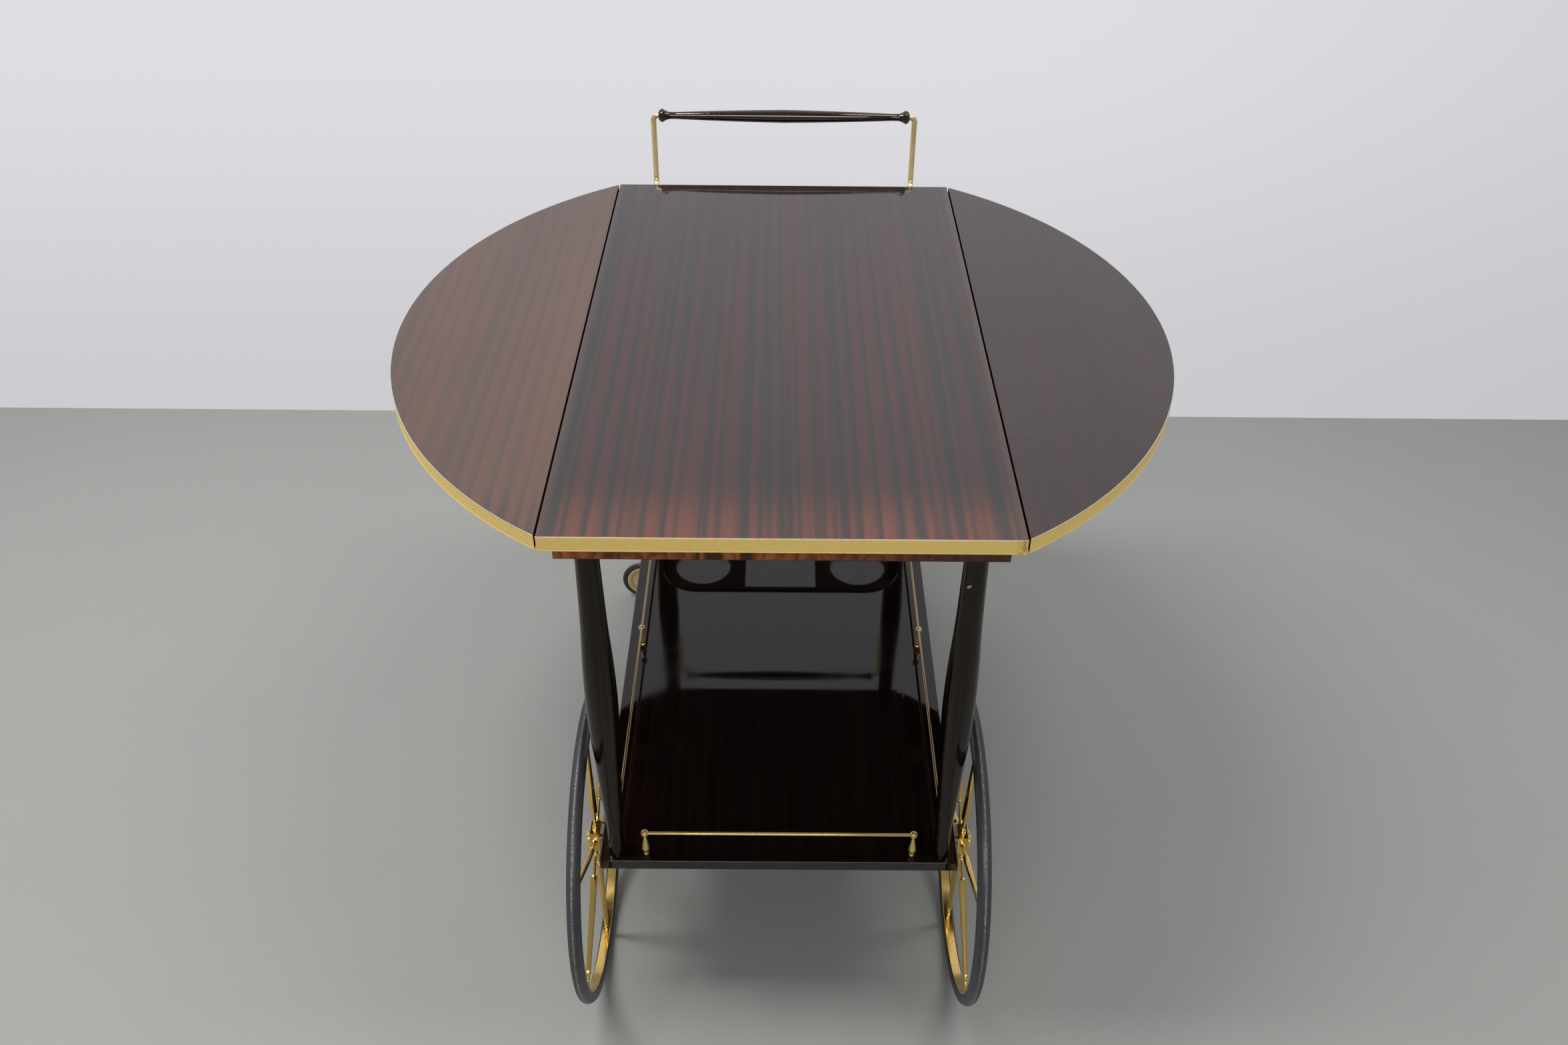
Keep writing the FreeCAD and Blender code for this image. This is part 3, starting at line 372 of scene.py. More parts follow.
def topWoodLook(board):
    # each board has its own place in the grain, and painted light in its colours: the left leaf is painted
    # lighter, and the near end takes painted light and shade; the stripes are strongest at the near end,
    # small chips lie along the seam of the right leaf, and only the upper face is polished
    look, place = newLook("topWood" + board, Specular_IOR_Level=0.0, Coat_IOR=1.60, Coat_Roughness=0.03)
    shade = topWood[board]
    own = stretched(place, (1, 1, 1), shade["shift"])
    grain, touch = grained(own, topWood), aged(handling, own, topWood)
    across, along, rise = split(place)
    # painted light and shade: towards the near end each board blends into its near colours
    near = spread(along, *topWood["paintedNearEnd"], 1.0, 0.0)
    stripe = times(grain["Stripe"], spread(along, *topWood["fading"]))
    dark = blend(near, shade["dark"], shade["nearPaintedDark"])
    red = blend(near, shade["red"], shade["nearPaintedRed"])
    colour = blend(stripe, dark, red)
    border = spread(work("ABSOLUTE", across), *topWood["edgeAt"], 0.0, shade["edged"])
    colour = blend(border, colour, topWood["edge"])
    polish = spread(rise, *topWood["polished"])
    # the faces below the polished top are darker
    lightness = times(spread(grain["Tone"], *topWood["tone"]),
                      spread(polish, 0.0, 1.0, topWood["lowerFacesLightness"], 1.0))
    colour = addNode("HueSaturation", {"Color": colour, "Value": lightness}).outputs[0]
    colour = blend(times(grain["Pores"], topWood["pores"]), colour, topWood["pore"])
    off = work("ABSOLUTE", work("SUBTRACT", across, topWood["seam"]))
    edge = spread(off, *topWood["seamWear"], 1.0, 0.0)
    crumbs = noise(own, topWood["chipScale"], detail=2)
    chips = times(edge, spread(crumbs, *topWood["chipFrom"]))
    marks = larger(chips, times(touch["Scratches"], shade["scratched"]))
    marks = larger(marks, times(touch["Specks"], topWood["specks"]))
    colour = blend(marks, colour, topWood["rubbed"])
    rough = timesPlus(touch["Smudge"], topWood["smudge"], topWood["gloss"])
    height = times(work("ADD", grain["Pores"], marks), -1.0)
    return dressed(look, colour, rough, height, topWood["bump"], Coat_Weight=polish)


darkWood = {
    "black": (0.0022, 0.0015, 0.0011, 1), "brown": (0.0150, 0.0062, 0.0036, 1),
    "bare": (0.115, 0.052, 0.030, 1), "sheen": (1.0, 0.90, 0.80, 1), "shift": (0.3, 0.1, 0.2),
    "stripes": 190.0, "wander": 0.01, "patches": 16.0, "striped": 0.7, "scratched": 0.55, "specks": 0.7,
    "chipColour": (0.50, 0.36, 0.19, 1), "chipAt": (0.1736, -0.3464, 0.6003), "chipWay": (0.60, -0.36, 0.71),
    "chipSize": (0.0030, 0.0012), "chipRim": (0.8, 1.2), "smudge": 0.06, "bump": (0.00006, 0.08),
}


def chipMask(place):
    # long oval about one point: the distances along the chip and across it, each over its half size
    away = addNode("VectorMath", {0: place, 1: darkWood["chipAt"]}, operation="SUBTRACT").outputs[0]
    both = {0: away, 1: darkWood["chipWay"]}
    along = addNode("VectorMath", both, operation="DOT_PRODUCT").outputs["Value"]
    length = addNode("VectorMath", {0: away}, operation="LENGTH").outputs["Value"]
    longSize, wideSize = darkWood["chipSize"]
    square = times(along, along)
    across = work("SUBTRACT", times(length, length), square)
    oval = timesPlus(square, longSize**-2, times(across, wideSize**-2))
    return spread(oval, *darkWood["chipRim"], 1.0, 0.0)


def darkWoodLook(name, turn, gloss, level):
    # turn brings the piece's length onto Y, along which the grain runs
    look, place = newLook(name, Specular_IOR_Level=level, Specular_Tint=darkWood["sheen"])
    own = stretched(place, (1, 1, 1), darkWood["shift"], turn)
    grain, touch = grained(own, darkWood), aged(handling, own, darkWood)
    colour = blend(times(grain["Stripe"], darkWood["striped"]), darkWood["black"], darkWood["brown"])
    chips = larger(times(touch["Scratches"], darkWood["scratched"]),
                   times(touch["Specks"], darkWood["specks"]))
    colour = blend(chips, colour, darkWood["bare"])
    colour = blend(chipMask(place), colour, darkWood["chipColour"])
    rough = timesPlus(touch["Smudge"], darkWood["smudge"], gloss)
    height = times(work("ADD", grain["Pores"], chips), -1.0)
    return dressed(look, colour, rough, height, darkWood["bump"])


redWood = {
    "burnt": (0.020, 0.0075, 0.0050, 1), "brown": (0.165, 0.040, 0.0115, 1),
    "orange": (0.370, 0.112, 0.026, 1), "stripes": 110.0, "wander": 0.01, "patches": 16.0, "pores": 0.2,
    "cloudScale": (15, 15, 40), "cloudFrom": (0.50, 0.70, 0.0, 0.5),
    "shaded": (0.040, 0.016, 0.013, 1), "shadedFrom": (-0.04, 0.19, 0.0, 0.85),
    "burns": ((-0.075, 0.003), (-0.060, 0.012), (-0.032, 0.008)), "burntEnd": -0.36, "burnCore": 0.4,
    "burnDepth": 0.9, "under": (0.026, 0.0090, 0.0065, 1), "underSide": (0.6484, 0.6496),
    "gloss": 0.34, "smudge": 0.2, "bump": (0.00015, 0.5),
}


def redWoodLook():
    # bare orange-brown edges with burnt patches, painted shade towards the right-hand end; the underside is
    # darker
    look, place = newLook("redWood", Specular_IOR_Level=0.25)
    grain, touch = grained(place, redWood), aged(handling, place, redWood)
    cloud = noise(stretched(place, redWood["cloudScale"]), detail=4, rough=0.62)
    colour = blend(grain["Stripe"], redWood["brown"], redWood["orange"])
    colour = blend(spread(cloud, *redWood["cloudFrom"]), colour, redWood["burnt"])
    colour = blend(times(grain["Pores"], redWood["pores"]), colour, redWood["burnt"])
    across, along, rise = split(place)
    colour = blend(spread(across, *redWood["shadedFrom"]), colour, redWood["shaded"])
    atEnd = work("LESS_THAN", along, redWood["burntEnd"])
    for middle, half in redWood["burns"]:
        off = work("ABSOLUTE", work("SUBTRACT", across, middle))
        spot = spread(off, half * redWood["burnCore"], half, redWood["burnDepth"], 0.0)
        colour = blend(times(atEnd, spot), colour, redWood["burnt"])
    colour = blend(spread(rise, *redWood["underSide"], 1.0, 0.0), colour, redWood["under"])
    rough = timesPlus(touch["Smudge"], redWood["smudge"], redWood["gloss"])
    pores = times(grain["Pores"], -1.0)
    return dressed(look, colour, rough, pores, redWood["bump"])


lacquer = {
    "black": (0.0062, 0.0030, 0.0026, 1), "brown": (0.0096, 0.0043, 0.0036, 1), "dust": (0.16, 0.16, 0.16, 1),
    "stripes": 90.0, "wander": 0.006, "patches": 6.0, "specks": 0.15,
    "gloss": 0.03, "smudge": 0.06, "power": 2.0, "bump": (0.00001, 0.1),
}


def shelfLook():
    # black lacquer over a trace of grain, with a thin film of handling and a few specks of dust
    look, place = newLook("shelfGloss")
    grain, touch = grained(place, lacquer), aged(handling, place, lacquer)
    colour = blend(grain["Stripe"], lacquer["black"], lacquer["brown"])
    colour = blend(times(touch["Specks"], lacquer["specks"]), colour, lacquer["dust"])
    film = work("POWER", touch["Smudge"], lacquer["power"])
    rough = timesPlus(film, lacquer["smudge"], lacquer["gloss"])
    return dressed(look, colour, rough, grain["Pores"], lacquer["bump"])


brass = {
    # bright, dull and pitted colour of each brass
    "plain": ((0.83, 0.60, 0.235, 1), (0.50, 0.335, 0.125, 1), (0.15, 0.095, 0.040, 1)),
    "gold": ((0.88, 0.62, 0.200, 1), (0.60, 0.385, 0.105, 1), (0.30, 0.170, 0.050, 1)),
    "edge": ((1.00, 0.72, 0.215, 1), (0.96, 0.660, 0.180, 1), (0.55, 0.360, 0.090, 1)),
    "bronze": ((0.085, 0.060, 0.034, 1), (0.045, 0.032, 0.020, 1), (0.02, 0.014, 0.01, 1)),
    # painted shade: the side rails' brass, a darker copy standing for the dark underside they reflect
    "shadedRail": ((0.35, 0.25, 0.135, 1), (0.22, 0.16, 0.090, 1), (0.10, 0.07, 0.040, 1)),
    "pale": ((0.86, 0.70, 0.370, 1), (0.60, 0.46, 0.210, 1), (0.14, 0.095, 0.045, 1)),
    "patches": 26.0, "pits": 0.5, "knurlPits": 0.4, "hollow": (0.0, 0.4),
    # painted highlight: the pale grey of the bands' top lip
    "paintedHighlight": (0.46, 0.43, 0.40, 1), "paintedHighlightFrom": (1.2, 1.8), "rust": (0.42, 0.165, 0.035, 1),
    "rustAt": (0.2030, 0.2140, 0.0, 0.8), "rustScale": 220.0, "rustFrom": (0.40, 0.60),
    "dullness": 0.22, "brushed": 0.05, "brushHeight": 0.2, "bump": (0.00001, 0.15),
}


def brassLook(name, colours, dulled, metal=1.0, gloss=0.13, hollowed=0.0, edging=False):
    # the height mark tells how high each point of a pattern stands: hollows are darker, and values past one
    # mark the top lip of the edging, painted pale grey as a highlight; the edging has rusted at its
    # right-hand end
    look, place = newLook(name, Metallic=metal)
    bright, dullColour, pit = brass[colours]
    age = aged(tarnish, place, brass)
    dull = times(age["Dull"], dulled)
    colour = blend(dull, bright, dullColour)
    dark = times(age["Pits"], times(dull, brass["pits"]))
    if hollowed:
        heightAndHighlight = markOf(look, "heightAndHighlight")
        dark = larger(times(dark, brass["knurlPits"]), spread(heightAndHighlight, *brass["hollow"], hollowed, 0.0))
    colour = blend(dark, colour, pit)
    if hollowed and edging:
        # painted highlight along the top lip of the edging
        colour = blend(spread(heightAndHighlight, *brass["paintedHighlightFrom"]), colour, brass["paintedHighlight"])
        across = split(place)[0]
        inside = work("LESS_THAN", across, topWood["seam"])
        rusted = times(inside, spread(across, *brass["rustAt"]))
        blotch = noise(place, brass["rustScale"], detail=3)
        rusted = times(rusted, spread(blotch, *brass["rustFrom"]))
        colour = blend(rusted, colour, brass["rust"])
    uneven = timesPlus(age["Brushed"], brass["brushed"], gloss)
    rough = timesPlus(larger(dull, dark), brass["dullness"], uneven)
    height = work("SUBTRACT", times(age["Brushed"], brass["brushHeight"]), dark)
    return dressed(look, colour, rough, height, brass["bump"])


steel = {
    "bright": (0.52, 0.515, 0.50, 1), "dull": (0.22, 0.205, 0.19, 1), "rust": (0.09, 0.05, 0.032, 1),
    "patches": 45.0, "pits": 0.7, "gloss": 0.3, "dullness": 0.25, "bump": (0.00005, 0.3),
}


def steelLook():
    look, place = newLook("steel", Metallic=1.0)
    age = aged(tarnish, place, steel)
    colour = blend(age["Dull"], steel["bright"], steel["dull"])
    colour = blend(times(age["Pits"], steel["pits"]), colour, steel["rust"])
    rough = timesPlus(age["Dull"], steel["dullness"], steel["gloss"])
    return dressed(look, colour, rough, age["Brushed"], steel["bump"])


rubber = {
    # the bluish colour is a painted reflection on the inner side; the pale grit is partly dust, partly a
    # painted highlight
    "reflectedBlue": (0.030, 0.033, 0.043, 1), "grey": (0.040, 0.039, 0.042, 1), "dusty": (0.056, 0.050, 0.055, 1),
    "gritAndHighlight": (0.42, 0.40, 0.385, 1), "patches": 40.0, "gritScale": 620.0, "dustFrom": (0.35, 0.65),
    "gritFrom": (0.38, 0.66, 0.12, 1.0), "gritKept": (0.5, 0.5), "gloss": 0.34, "dustRough": 0.2,
    "bump": (0.00006, 0.4),
}


def rubberLook():
    # tread and outer tell where on the section a point lies: the inner side is smooth, with a bluish painted
    # reflection, the outer side dusty, and a line of pale grit with a painted highlight runs round between
    # them
    look, place = newLook("tyreRubber", Specular_IOR_Level=0.5)
    touch = aged(handling, place, rubber)
    ridge, outer = markOf(look, "tread"), markOf(look, "outer")
    gritAndHighlight = noise(place, rubber["gritScale"], detail=3, rough=0.7)
    # painted reflection: the bluish colour of the smooth inner side
    smooth = blend(touch["Smudge"], rubber["reflectedBlue"], rubber["grey"])
    dusted = blend(spread(gritAndHighlight, *rubber["dustFrom"]), rubber["grey"], rubber["dusty"])
    colour = blend(outer, smooth, dusted)
    film = times(ridge, spread(gritAndHighlight, *rubber["gritFrom"]))
    film = times(film, timesPlus(touch["Smudge"], *rubber["gritKept"]))
    # partly dust, partly painted highlight: the pale line along the ridge
    colour = blend(film, colour, rubber["gritAndHighlight"])
    rough = timesPlus(larger(outer, ridge), rubber["dustRough"], rubber["gloss"])
    return dressed(look, colour, rough, gritAndHighlight, rubber["bump"])


looks = {
    "topCentre": topWoodLook("Centre"), "topLeft": topWoodLook("Left"), "topRight": topWoodLook("Right"),
    "legWood": darkWoodLook("darkWoodUpright", (math.pi / 2, 0, 0), gloss=0.07, level=0.3),
    "gripWood": darkWoodLook("darkWoodAcross", (0, 0, math.pi / 2), gloss=0.03, level=1.0),
    "redWood": redWoodLook(), "shelf": shelfLook(),
    "band": brassLook("edgeBrass", "edge", dulled=0.2, metal=0.05, hollowed=0.45, edging=True),
    "rod": brassLook("paleBrass", "pale", dulled=0.5, metal=0.7),
    # painted shade: darker copy of brass for the side rails
    "shadedRail": brassLook("shadedRailBrass", "shadedRail", dulled=0.3, gloss=0.03),
    "brass": brassLook("agedBrass", "plain", dulled=0.35, metal=0.75),
    "gold": brassLook("wheelBrass", "gold", dulled=0.30),
    "disc": brassLook("dishedBrass", "pale", dulled=0.2, metal=0.6, hollowed=0.75),
    "bronze": brassLook("darkBronze", "bronze", dulled=0.6),
    "steel": steelLook(), "rubber": rubberLook(),
}
print("looks made:", len(looks))


# table top, underboard and shelf

boards = {
    "topLow": 664.0, "topHigh": 680.0, "centreHalf": (215.2, 377.3), "topEdge": 0.4,
    "leafInner": 217.2, "leafReach": 200.3, "leafHalfChord": 376.1, "bandThick": 0.7, "arcSteps": 240,
    "underHalf": (204.0, 369.0), "underLow": 648.0, "underEdge": 1.0,
    "shelfHalf": (198.0, 351.0), "shelfLow": 192.0, "shelfHigh": 206.0, "shelfEdge": 1.5,
}
arcRadius = (boards["leafHalfChord"]**2 + boards["leafReach"]**2) / (2 * boards["leafReach"])
arcCentre = boards["leafInner"] + boards["leafReach"] - arcRadius


def rectangle(half):
    return np.array([(-half[0], -half[1]), (half[0], -half[1]), (half[0], half[1]), (-half[0], half[1])])


def leafOutline(sign):
    # straight hinge side, then the arc x = centre + R cos a, y = R sin a between its two ends
    radius = arcRadius - boards["bandThick"]
    end = math.acos((boards["leafInner"] - arcCentre) / radius)
    angle = np.linspace(-end, end, boards["arcSteps"])
    return np.column_stack([sign * (arcCentre + radius * np.cos(angle)), radius * np.sin(angle)])


makePiece("centreTop", [slabShell(rectangle(boards["centreHalf"]), boards["topLow"], boards["topHigh"])],
          "topCentre", "frame", ["centre_top"], bevel=boards["topEdge"])
for side, sign in sides:
    board, node = side.title(), "leaf_" + side
    makePiece("leaf" + board, [slabShell(leafOutline(sign), boards["topLow"], boards["topHigh"])],
              "top" + board, node, [node], bevel=boards["topEdge"])
makePiece("underboard", [slabShell(rectangle(boards["underHalf"]), boards["underLow"], boards["topLow"])],
          "redWood", "frame", ["underboard"], bevel=boards["underEdge"])
makePiece("lowerShelf", [slabShell(rectangle(boards["shelfHalf"]), boards["shelfLow"], boards["shelfHigh"])],
          "shelf", "frame", ["lower_shelf"], bevel=boards["shelfEdge"])
print("boards made")


# knurled brass bands

band = {
    "pitch": 3.4, "perPitch": 6, "depth": 0.5, "floor": 0.55, "field": (1.4, 14.7), "sharp": 60,
    "lower": [(0.35, 0.0), (0.1, 0.12), (0.0, 0.4), (0.0, 0.95), (0.3, 1.2)],
    "upper": [(0.7, 14.8), (0.3, 15.1), (0.0, 15.3), (0.0, 15.7), (0.2, 16.0), (0.45, 16.0), (0.7, 15.9),
              (0.7, 0.0)],
    # lift past one on the top lip marks the painted highlight
    "lowerLift": [0.6, 0.8, 1, 1, 0.3], "upperLiftAndHighlight": [0.0, 0.3, 1, 1.5, 2, 2, 2, 0.4],
}


def straightReach(way):
    # band along X on the near (-1) or far (+1) end of the centre board
    outer = boards["centreHalf"][1] + boards["bandThick"]
    return lambda along, depth, height: np.stack([along + 0 * depth, way * (outer - depth), height], -1)


def arcReach(sign):
    # band along the leaf's arc, each depth ending on the straight hinge side
    def reach(along, depth, height):
        within = arcRadius - np.clip(depth, 0, boards["bandThick"])
        angle = along / along[-1] * np.arccos((boards["leafInner"] - arcCentre) / within)
        radius = arcRadius - depth
        return np.stack([sign * (arcCentre + radius * np.cos(angle)), radius * np.sin(angle), height], -1)
    return reach


def makeBand(name, half, reach, body, node):
    # section of (depth behind the face, z): plain lower lip, knurled field, fine groove, top lip, then back;
    # diamonds between two sets of slanting grooves: lift = |sin(pi (u + z) / p) sin(pi (u - z) / p)|
    step, turn = band["pitch"] / band["perPitch"], math.pi / band["pitch"]
    field = np.arange(*band["field"], step)
    knurled = np.column_stack([np.full(len(field), band["floor"]), field])
    depth, z = np.concatenate([band["lower"], knurled, band["upper"]]).T
    liftedAndHighlight = np.concatenate([band["lowerLift"], np.zeros(len(field)), band["upperLiftAndHighlight"]])
    u = np.linspace(-half, half, 2 * int(round(half / step)) + 1)[:, None]
    lift = np.abs(np.sin(turn * (u + z)) * np.sin(turn * (u - z))) * (depth == band["floor"])
    points = reach(u, depth - lift * band["depth"], z + boards["topLow"] + 0 * lift)
    # the height mark holds the knurl's lift and, past one, the painted highlight of the top lip
    makePiece(name, [gridShell(points)], "band", body, [node], sharp=band["sharp"],
              marks={"heightAndHighlight": (lift + liftedAndHighlight).ravel()})


for end, way in ends:
    makeBand("centreBand" + end.title(), boards["centreHalf"][0], straightReach(way), "frame",
             "centre_band_" + end)
arcHalf = arcRadius * math.acos((boards["leafInner"] - arcCentre) / arcRadius)
for side, sign in sides:
    makeBand(f"leaf{side.title()}Band", arcHalf, arcReach(sign), "leaf_" + side, f"leaf_{side}_band")
print("bands made")


# turned legs and feet

leg = {
    "at": (179.5, 336.0), "bottom": 206.0, "rows": 90, "steps": 64,
    "knots": [(0, 10.0), (10, 9.2), (31, 8.5), (60, 9.55), (100, 11.4), (146, 13.55), (190, 15.55),
              (234, 16.35), (283, 15.55), (332, 13.35), (385, 12.1), (442, 11.2)],
}
foot = {
    "at": (183.0, 338.0), "bottom": 118.0, "rows": 40, "steps": 64,
    "knots": [(0, 9.45), (3, 9.5), (8, 9.9), (16, 10.6), (38, 12.0), (56, 13.05), (64, 13.45), (74, 13.5)],
}


def makeUpright(name, turned, sign, way, node):
    # smooth turned shape stood on its place
    shell = turnedShell(smoothProfile(turned["knots"], turned["rows"]), turned["steps"])
    at = (sign * turned["at"][0], way * turned["at"][1], turned["bottom"])
    makePiece(name, [moved(shell, at)], "legWood", "frame", [node])


for end, way in ends:
    for side, sign in sides:
        makeUpright("leg" + end.title() + side.title(), leg, sign, way, f"leg_{end}_{side}")
for side, sign in sides:
    makeUpright("foot" + side.title(), foot, sign, 1, "foot_" + side)
print("legs made")


# gallery

gallery = {
    "shelf": 206.0, "sideTall": 29.0, "nearTall": 34.0, "ball": 4.3, "postSteps": 32, "sideX": 179.5,
    "railRadius": 1.7, "railEdge": 0.3, "railSteps": 24, "railHalf": 331.5, "nearX": 147.0, "nearY": -340.0,
    "nearHalf": 149.15, "foot": [(2.2, 0), (2.6, 0.25), (2.6, 1.0), (2.25, 1.4), (1.75, 2.0)],
    "pear": [(1.9, 0.085), (2.7, 0.125), (3.65, 0.185), (4.2, 0.235), (4.4, 0.29), (4.3, 0.34), (3.9, 0.42),
             (3.25, 0.53), (2.6, 0.64), (2.1, 0.74), (1.75, 0.83), (1.6, 0.90)],
}


def ballShell(radius, steps, rows=22, flat=0.08):
    # sphere with small flats at its poles: r sin a, -r cos a
    angle = np.linspace(flat, np.pi - flat, rows)
    return turnedShell(np.column_stack([radius * np.sin(angle), -radius * np.cos(angle)]), steps)


def postShells(x, y, tall):
    # a small foot, then a pear whose heights are shares of the post's own height, and a ball
    stem = gallery["foot"] + [(radius, share * tall) for radius, share in gallery["pear"]]
    ball = moved(ballShell(gallery["ball"], gallery["postSteps"]), (x, y, gallery["shelf"] + tall))
    return [moved(turnedShell(stem, gallery["postSteps"]), (x, y, gallery["shelf"])), ball]


def makeRail(name, half, at, turn, look, node):
    bar = roundedBar(gallery["railRadius"], -half, half, gallery["railEdge"])
    shell = moved(turnedShell(bar, gallery["railSteps"]), at, turn)
    makePiece(name, [shell], look, "frame", [node])


posts = []
for side, sign in sides:
    posts += postShells(sign * gallery["sideX"], 0, gallery["sideTall"])
    posts += postShells(sign * gallery["nearX"], gallery["nearY"], gallery["nearTall"])
makePiece("galleryPosts", posts, "brass", "frame", ["gallery_posts"])
for side, sign in sides:
    at = (sign * gallery["sideX"], 0, gallery["shelf"] + gallery["sideTall"])
    makeRail("galleryRail" + side.title(), gallery["railHalf"], at, alongY, "shadedRail", "gallery_rail_" + side)
at = (0, gallery["nearY"], gallery["shelf"] + gallery["nearTall"])
makeRail("galleryRailNear", gallery["nearHalf"], at, alongX, "brass", "gallery_rail_near")
studs = {
    "x": 150.76, "y": 264.32, "steps": 24, "sharp": 60,
    "dome": [(0.3, 324.42), (1.2, 324.5), (1.95, 324.85), (2.4, 325.35), (2.58, 326.0)],
}
dome = turnedShell(studs["dome"], studs["steps"])
domes = [moved(dome, (sign * studs["x"], studs["y"], 0)) for side, sign in sides]
makePiece("holderStuds", domes, "gold", "frame", ["holder_studs"], sharp=studs["sharp"])
print("gallery made")


# push handle

handle = {
    "gripY": 488.0, "gripZ": 732.0, "gripHalf": 171.0, "gripRows": 241, "gripSteps": 48, "knob": 8.98,
    "knobLength": 12.0, "neck": 4.7, "neckPlace": 24.0, "flareEnd": 17.0, "middle": 8.6, "swell": 2.0,
    "rodX": 178.0, "rodZ": 632.0, "rodStart": 338.2, "rodRadius": 4.0, "bend": 16.0, "turn": 6.0,
    "bendSteps": 14, "pegRadius": 3.0, "pegShoulder": (0.6, 0.7), "pegEnd": 164.5,
}


def gripProfile():
    # knob: an arc at the end, then a hollow flare (1 - s)^2 down to the neck; the taper to the middle swells
    at = np.linspace(-1, 1, handle["gripRows"]) * handle["gripHalf"]
    inward = handle["gripHalf"] - np.abs(at)
    rise, half = handle["knob"] - handle["neck"], handle["knobLength"] / 2
    knobRadius = (half**2 + rise**2) / (2 * rise)
    knob = handle["knob"] - knobRadius + np.sqrt(np.clip(knobRadius**2 - (inward - half)**2, 0, None))
    flare = handle["neck"] + rise * np.clip(1 - (inward - half) / (handle["flareEnd"] - half), 0, 1)**2
    t = np.clip((inward - handle["neckPlace"]) / (handle["gripHalf"] - handle["neckPlace"]), 0, 1)
    taper = handle["neck"] + (handle["middle"] - handle["neck"]) * t + handle["swell"] * t * (1 - t)
    return np.column_stack([np.where(inward < half, knob, np.maximum(flare, taper)), at])


def stretch(x, y, z):
    # part of a path, with single numbers repeated along it
    return np.stack(np.broadcast_arrays(x, y, z), -1)


def rodShell(sign):
    # along Y out of the leg, a quarter circle upwards, straight up, a tight quarter circle into the grip
    quarter = np.linspace(0, np.pi / 2, handle["bendSteps"])
    x, y, low, high = handle["rodX"], handle["gripY"], handle["rodZ"], handle["gripZ"]
    bend, turn = handle["bend"], handle["turn"]
    outward = stretch(x, np.linspace(handle["rodStart"], y - bend, 9)[:-1], low)
    upward = stretch(x, y - bend + bend * np.sin(quarter), low + bend - bend * np.cos(quarter))
    rise = stretch(x, y, np.linspace(low + bend, high - turn, 8)[1:-1])
    inward = stretch(x - turn + turn * np.cos(quarter), y, high - turn + turn * np.sin(quarter))
    peg = stretch([x - turn - step for step in handle["pegShoulder"]] + [handle["pegEnd"]], y, high)
    path = np.concatenate([outward, upward, rise, inward, peg])
    late = len(path) - len(inward) - len(peg)
    across = np.tile((1.0, 0.0, 0.0), (len(path), 1))
    across[late:] = np.cross((0.0, 1.0, 0.0), np.gradient(path, axis=0)[late:])
    radius = np.full(len(path), handle["rodRadius"])
    radius[-2:] = handle["pegRadius"]
    points, faces = tubeShell(path, across, radius)
    return points * (sign, 1, 1), faces


grip = moved(turnedShell(gripProfile(), handle["gripSteps"]), (0, handle["gripY"], handle["gripZ"]), alongX)
makePiece("handleGrip", [grip], "gripWood", "frame", ["handle_grip"])
for side, sign in sides:
    makePiece("handleRod" + side.title(), [rodShell(sign)], "rod", "frame", ["handle_rod_" + side])
print("handle made")


# large wheels

wheel = {
    "at": (209.0, -297.0, 180.0), "turn": {"left": 31.0, "right": 24.0}, "steps": 200,
    "tyreMiddle": 172.5, "tyreRound": 7.48, "seat": 167.55,
    "rimInner": 164.5, "rimOuter": 167.5, "rimHalf": 5.0, "rimEdges": (0.25, 0.3), "rimSharp": 30,
    "hubFlat": 17.0, "hubHalf": 6.0, "hubEdge": 0.7, "bore": 4.55, "spokes": 6, "spokeSteps": 24,
    "spokeSharp": 50,
    "spoke": [(0.6, 17.0), (3.4, 17.0), (3.5, 17.2), (3.5, 19.2), (3.2, 19.6), (2.6, 19.9), (2.25, 20.7),
              (2.1, 24), (2.0, 32), (1.9, 40.5), (2.0, 41.8), (2.6, 42.1), (3.6, 42.6), (4.15, 43.3),
              (4.3, 44.6), (4.2, 52), (3.9, 70), (3.5, 95), (3.1, 120), (2.78, 144), (2.72, 147),
              (3.0, 147.4), (3.2, 148.1), (3.2, 149.5), (2.9, 150.0), (2.1, 150.7), (1.95, 151.6),
              (2.3, 153.2), (2.45, 154.4), (2.3, 155.6), (1.95, 157.0), (1.9, 157.8), (2.2, 159.4),
              (2.35, 160.8), (2.2, 162.2), (1.95, 163.4), (1.9, 164.2), (1.9, 166.2), (0.6, 166.4)],
}


def spokeWay(side, index=0):
    # turn about X that lays a spoke drawn along Z on its own direction
    return Matrix.Rotation(math.radians(90 - wheel["turn"][side] + 360 / wheel["spokes"] * index), 3, "X")


def hubShell(side):
    # bored hexagon: the outer radius at angle a is flat / cos(a measured from the nearest flat's middle)
    angle = np.radians(np.arange(0, 360, 5.0))
    off = (angle + np.pi / 6) % (np.pi / 3) - np.pi / 6
    outer, bore = wheel["hubFlat"] / np.cos(off), np.full(len(angle), wheel["bore"])
    half, edge = wheel["hubHalf"], wheel["hubEdge"]
    radius = np.stack([bore, outer - edge, outer, outer, outer - edge, bore])
    height = np.array([-half, -half, edge - half, half - edge, half, half])[:, None] + 0 * angle
    ring = np.stack([height, -radius * np.sin(angle), radius * np.cos(angle)], -1)
    return moved(gridShell(ring, closeRows=True), (0, 0, 0), spokeWay(side))


def rimProfile():
    # flat ring with small slants at its edges
    low, high, half = wheel["rimInner"], wheel["rimOuter"], wheel["rimHalf"]
    inner, outer = wheel["rimEdges"]
    return [(low + inner, -half), (high - outer, -half), (high, outer - half), (high, half - outer),
            (high - outer, half), (low + inner, half), (low, half - inner), (low, inner - half)]


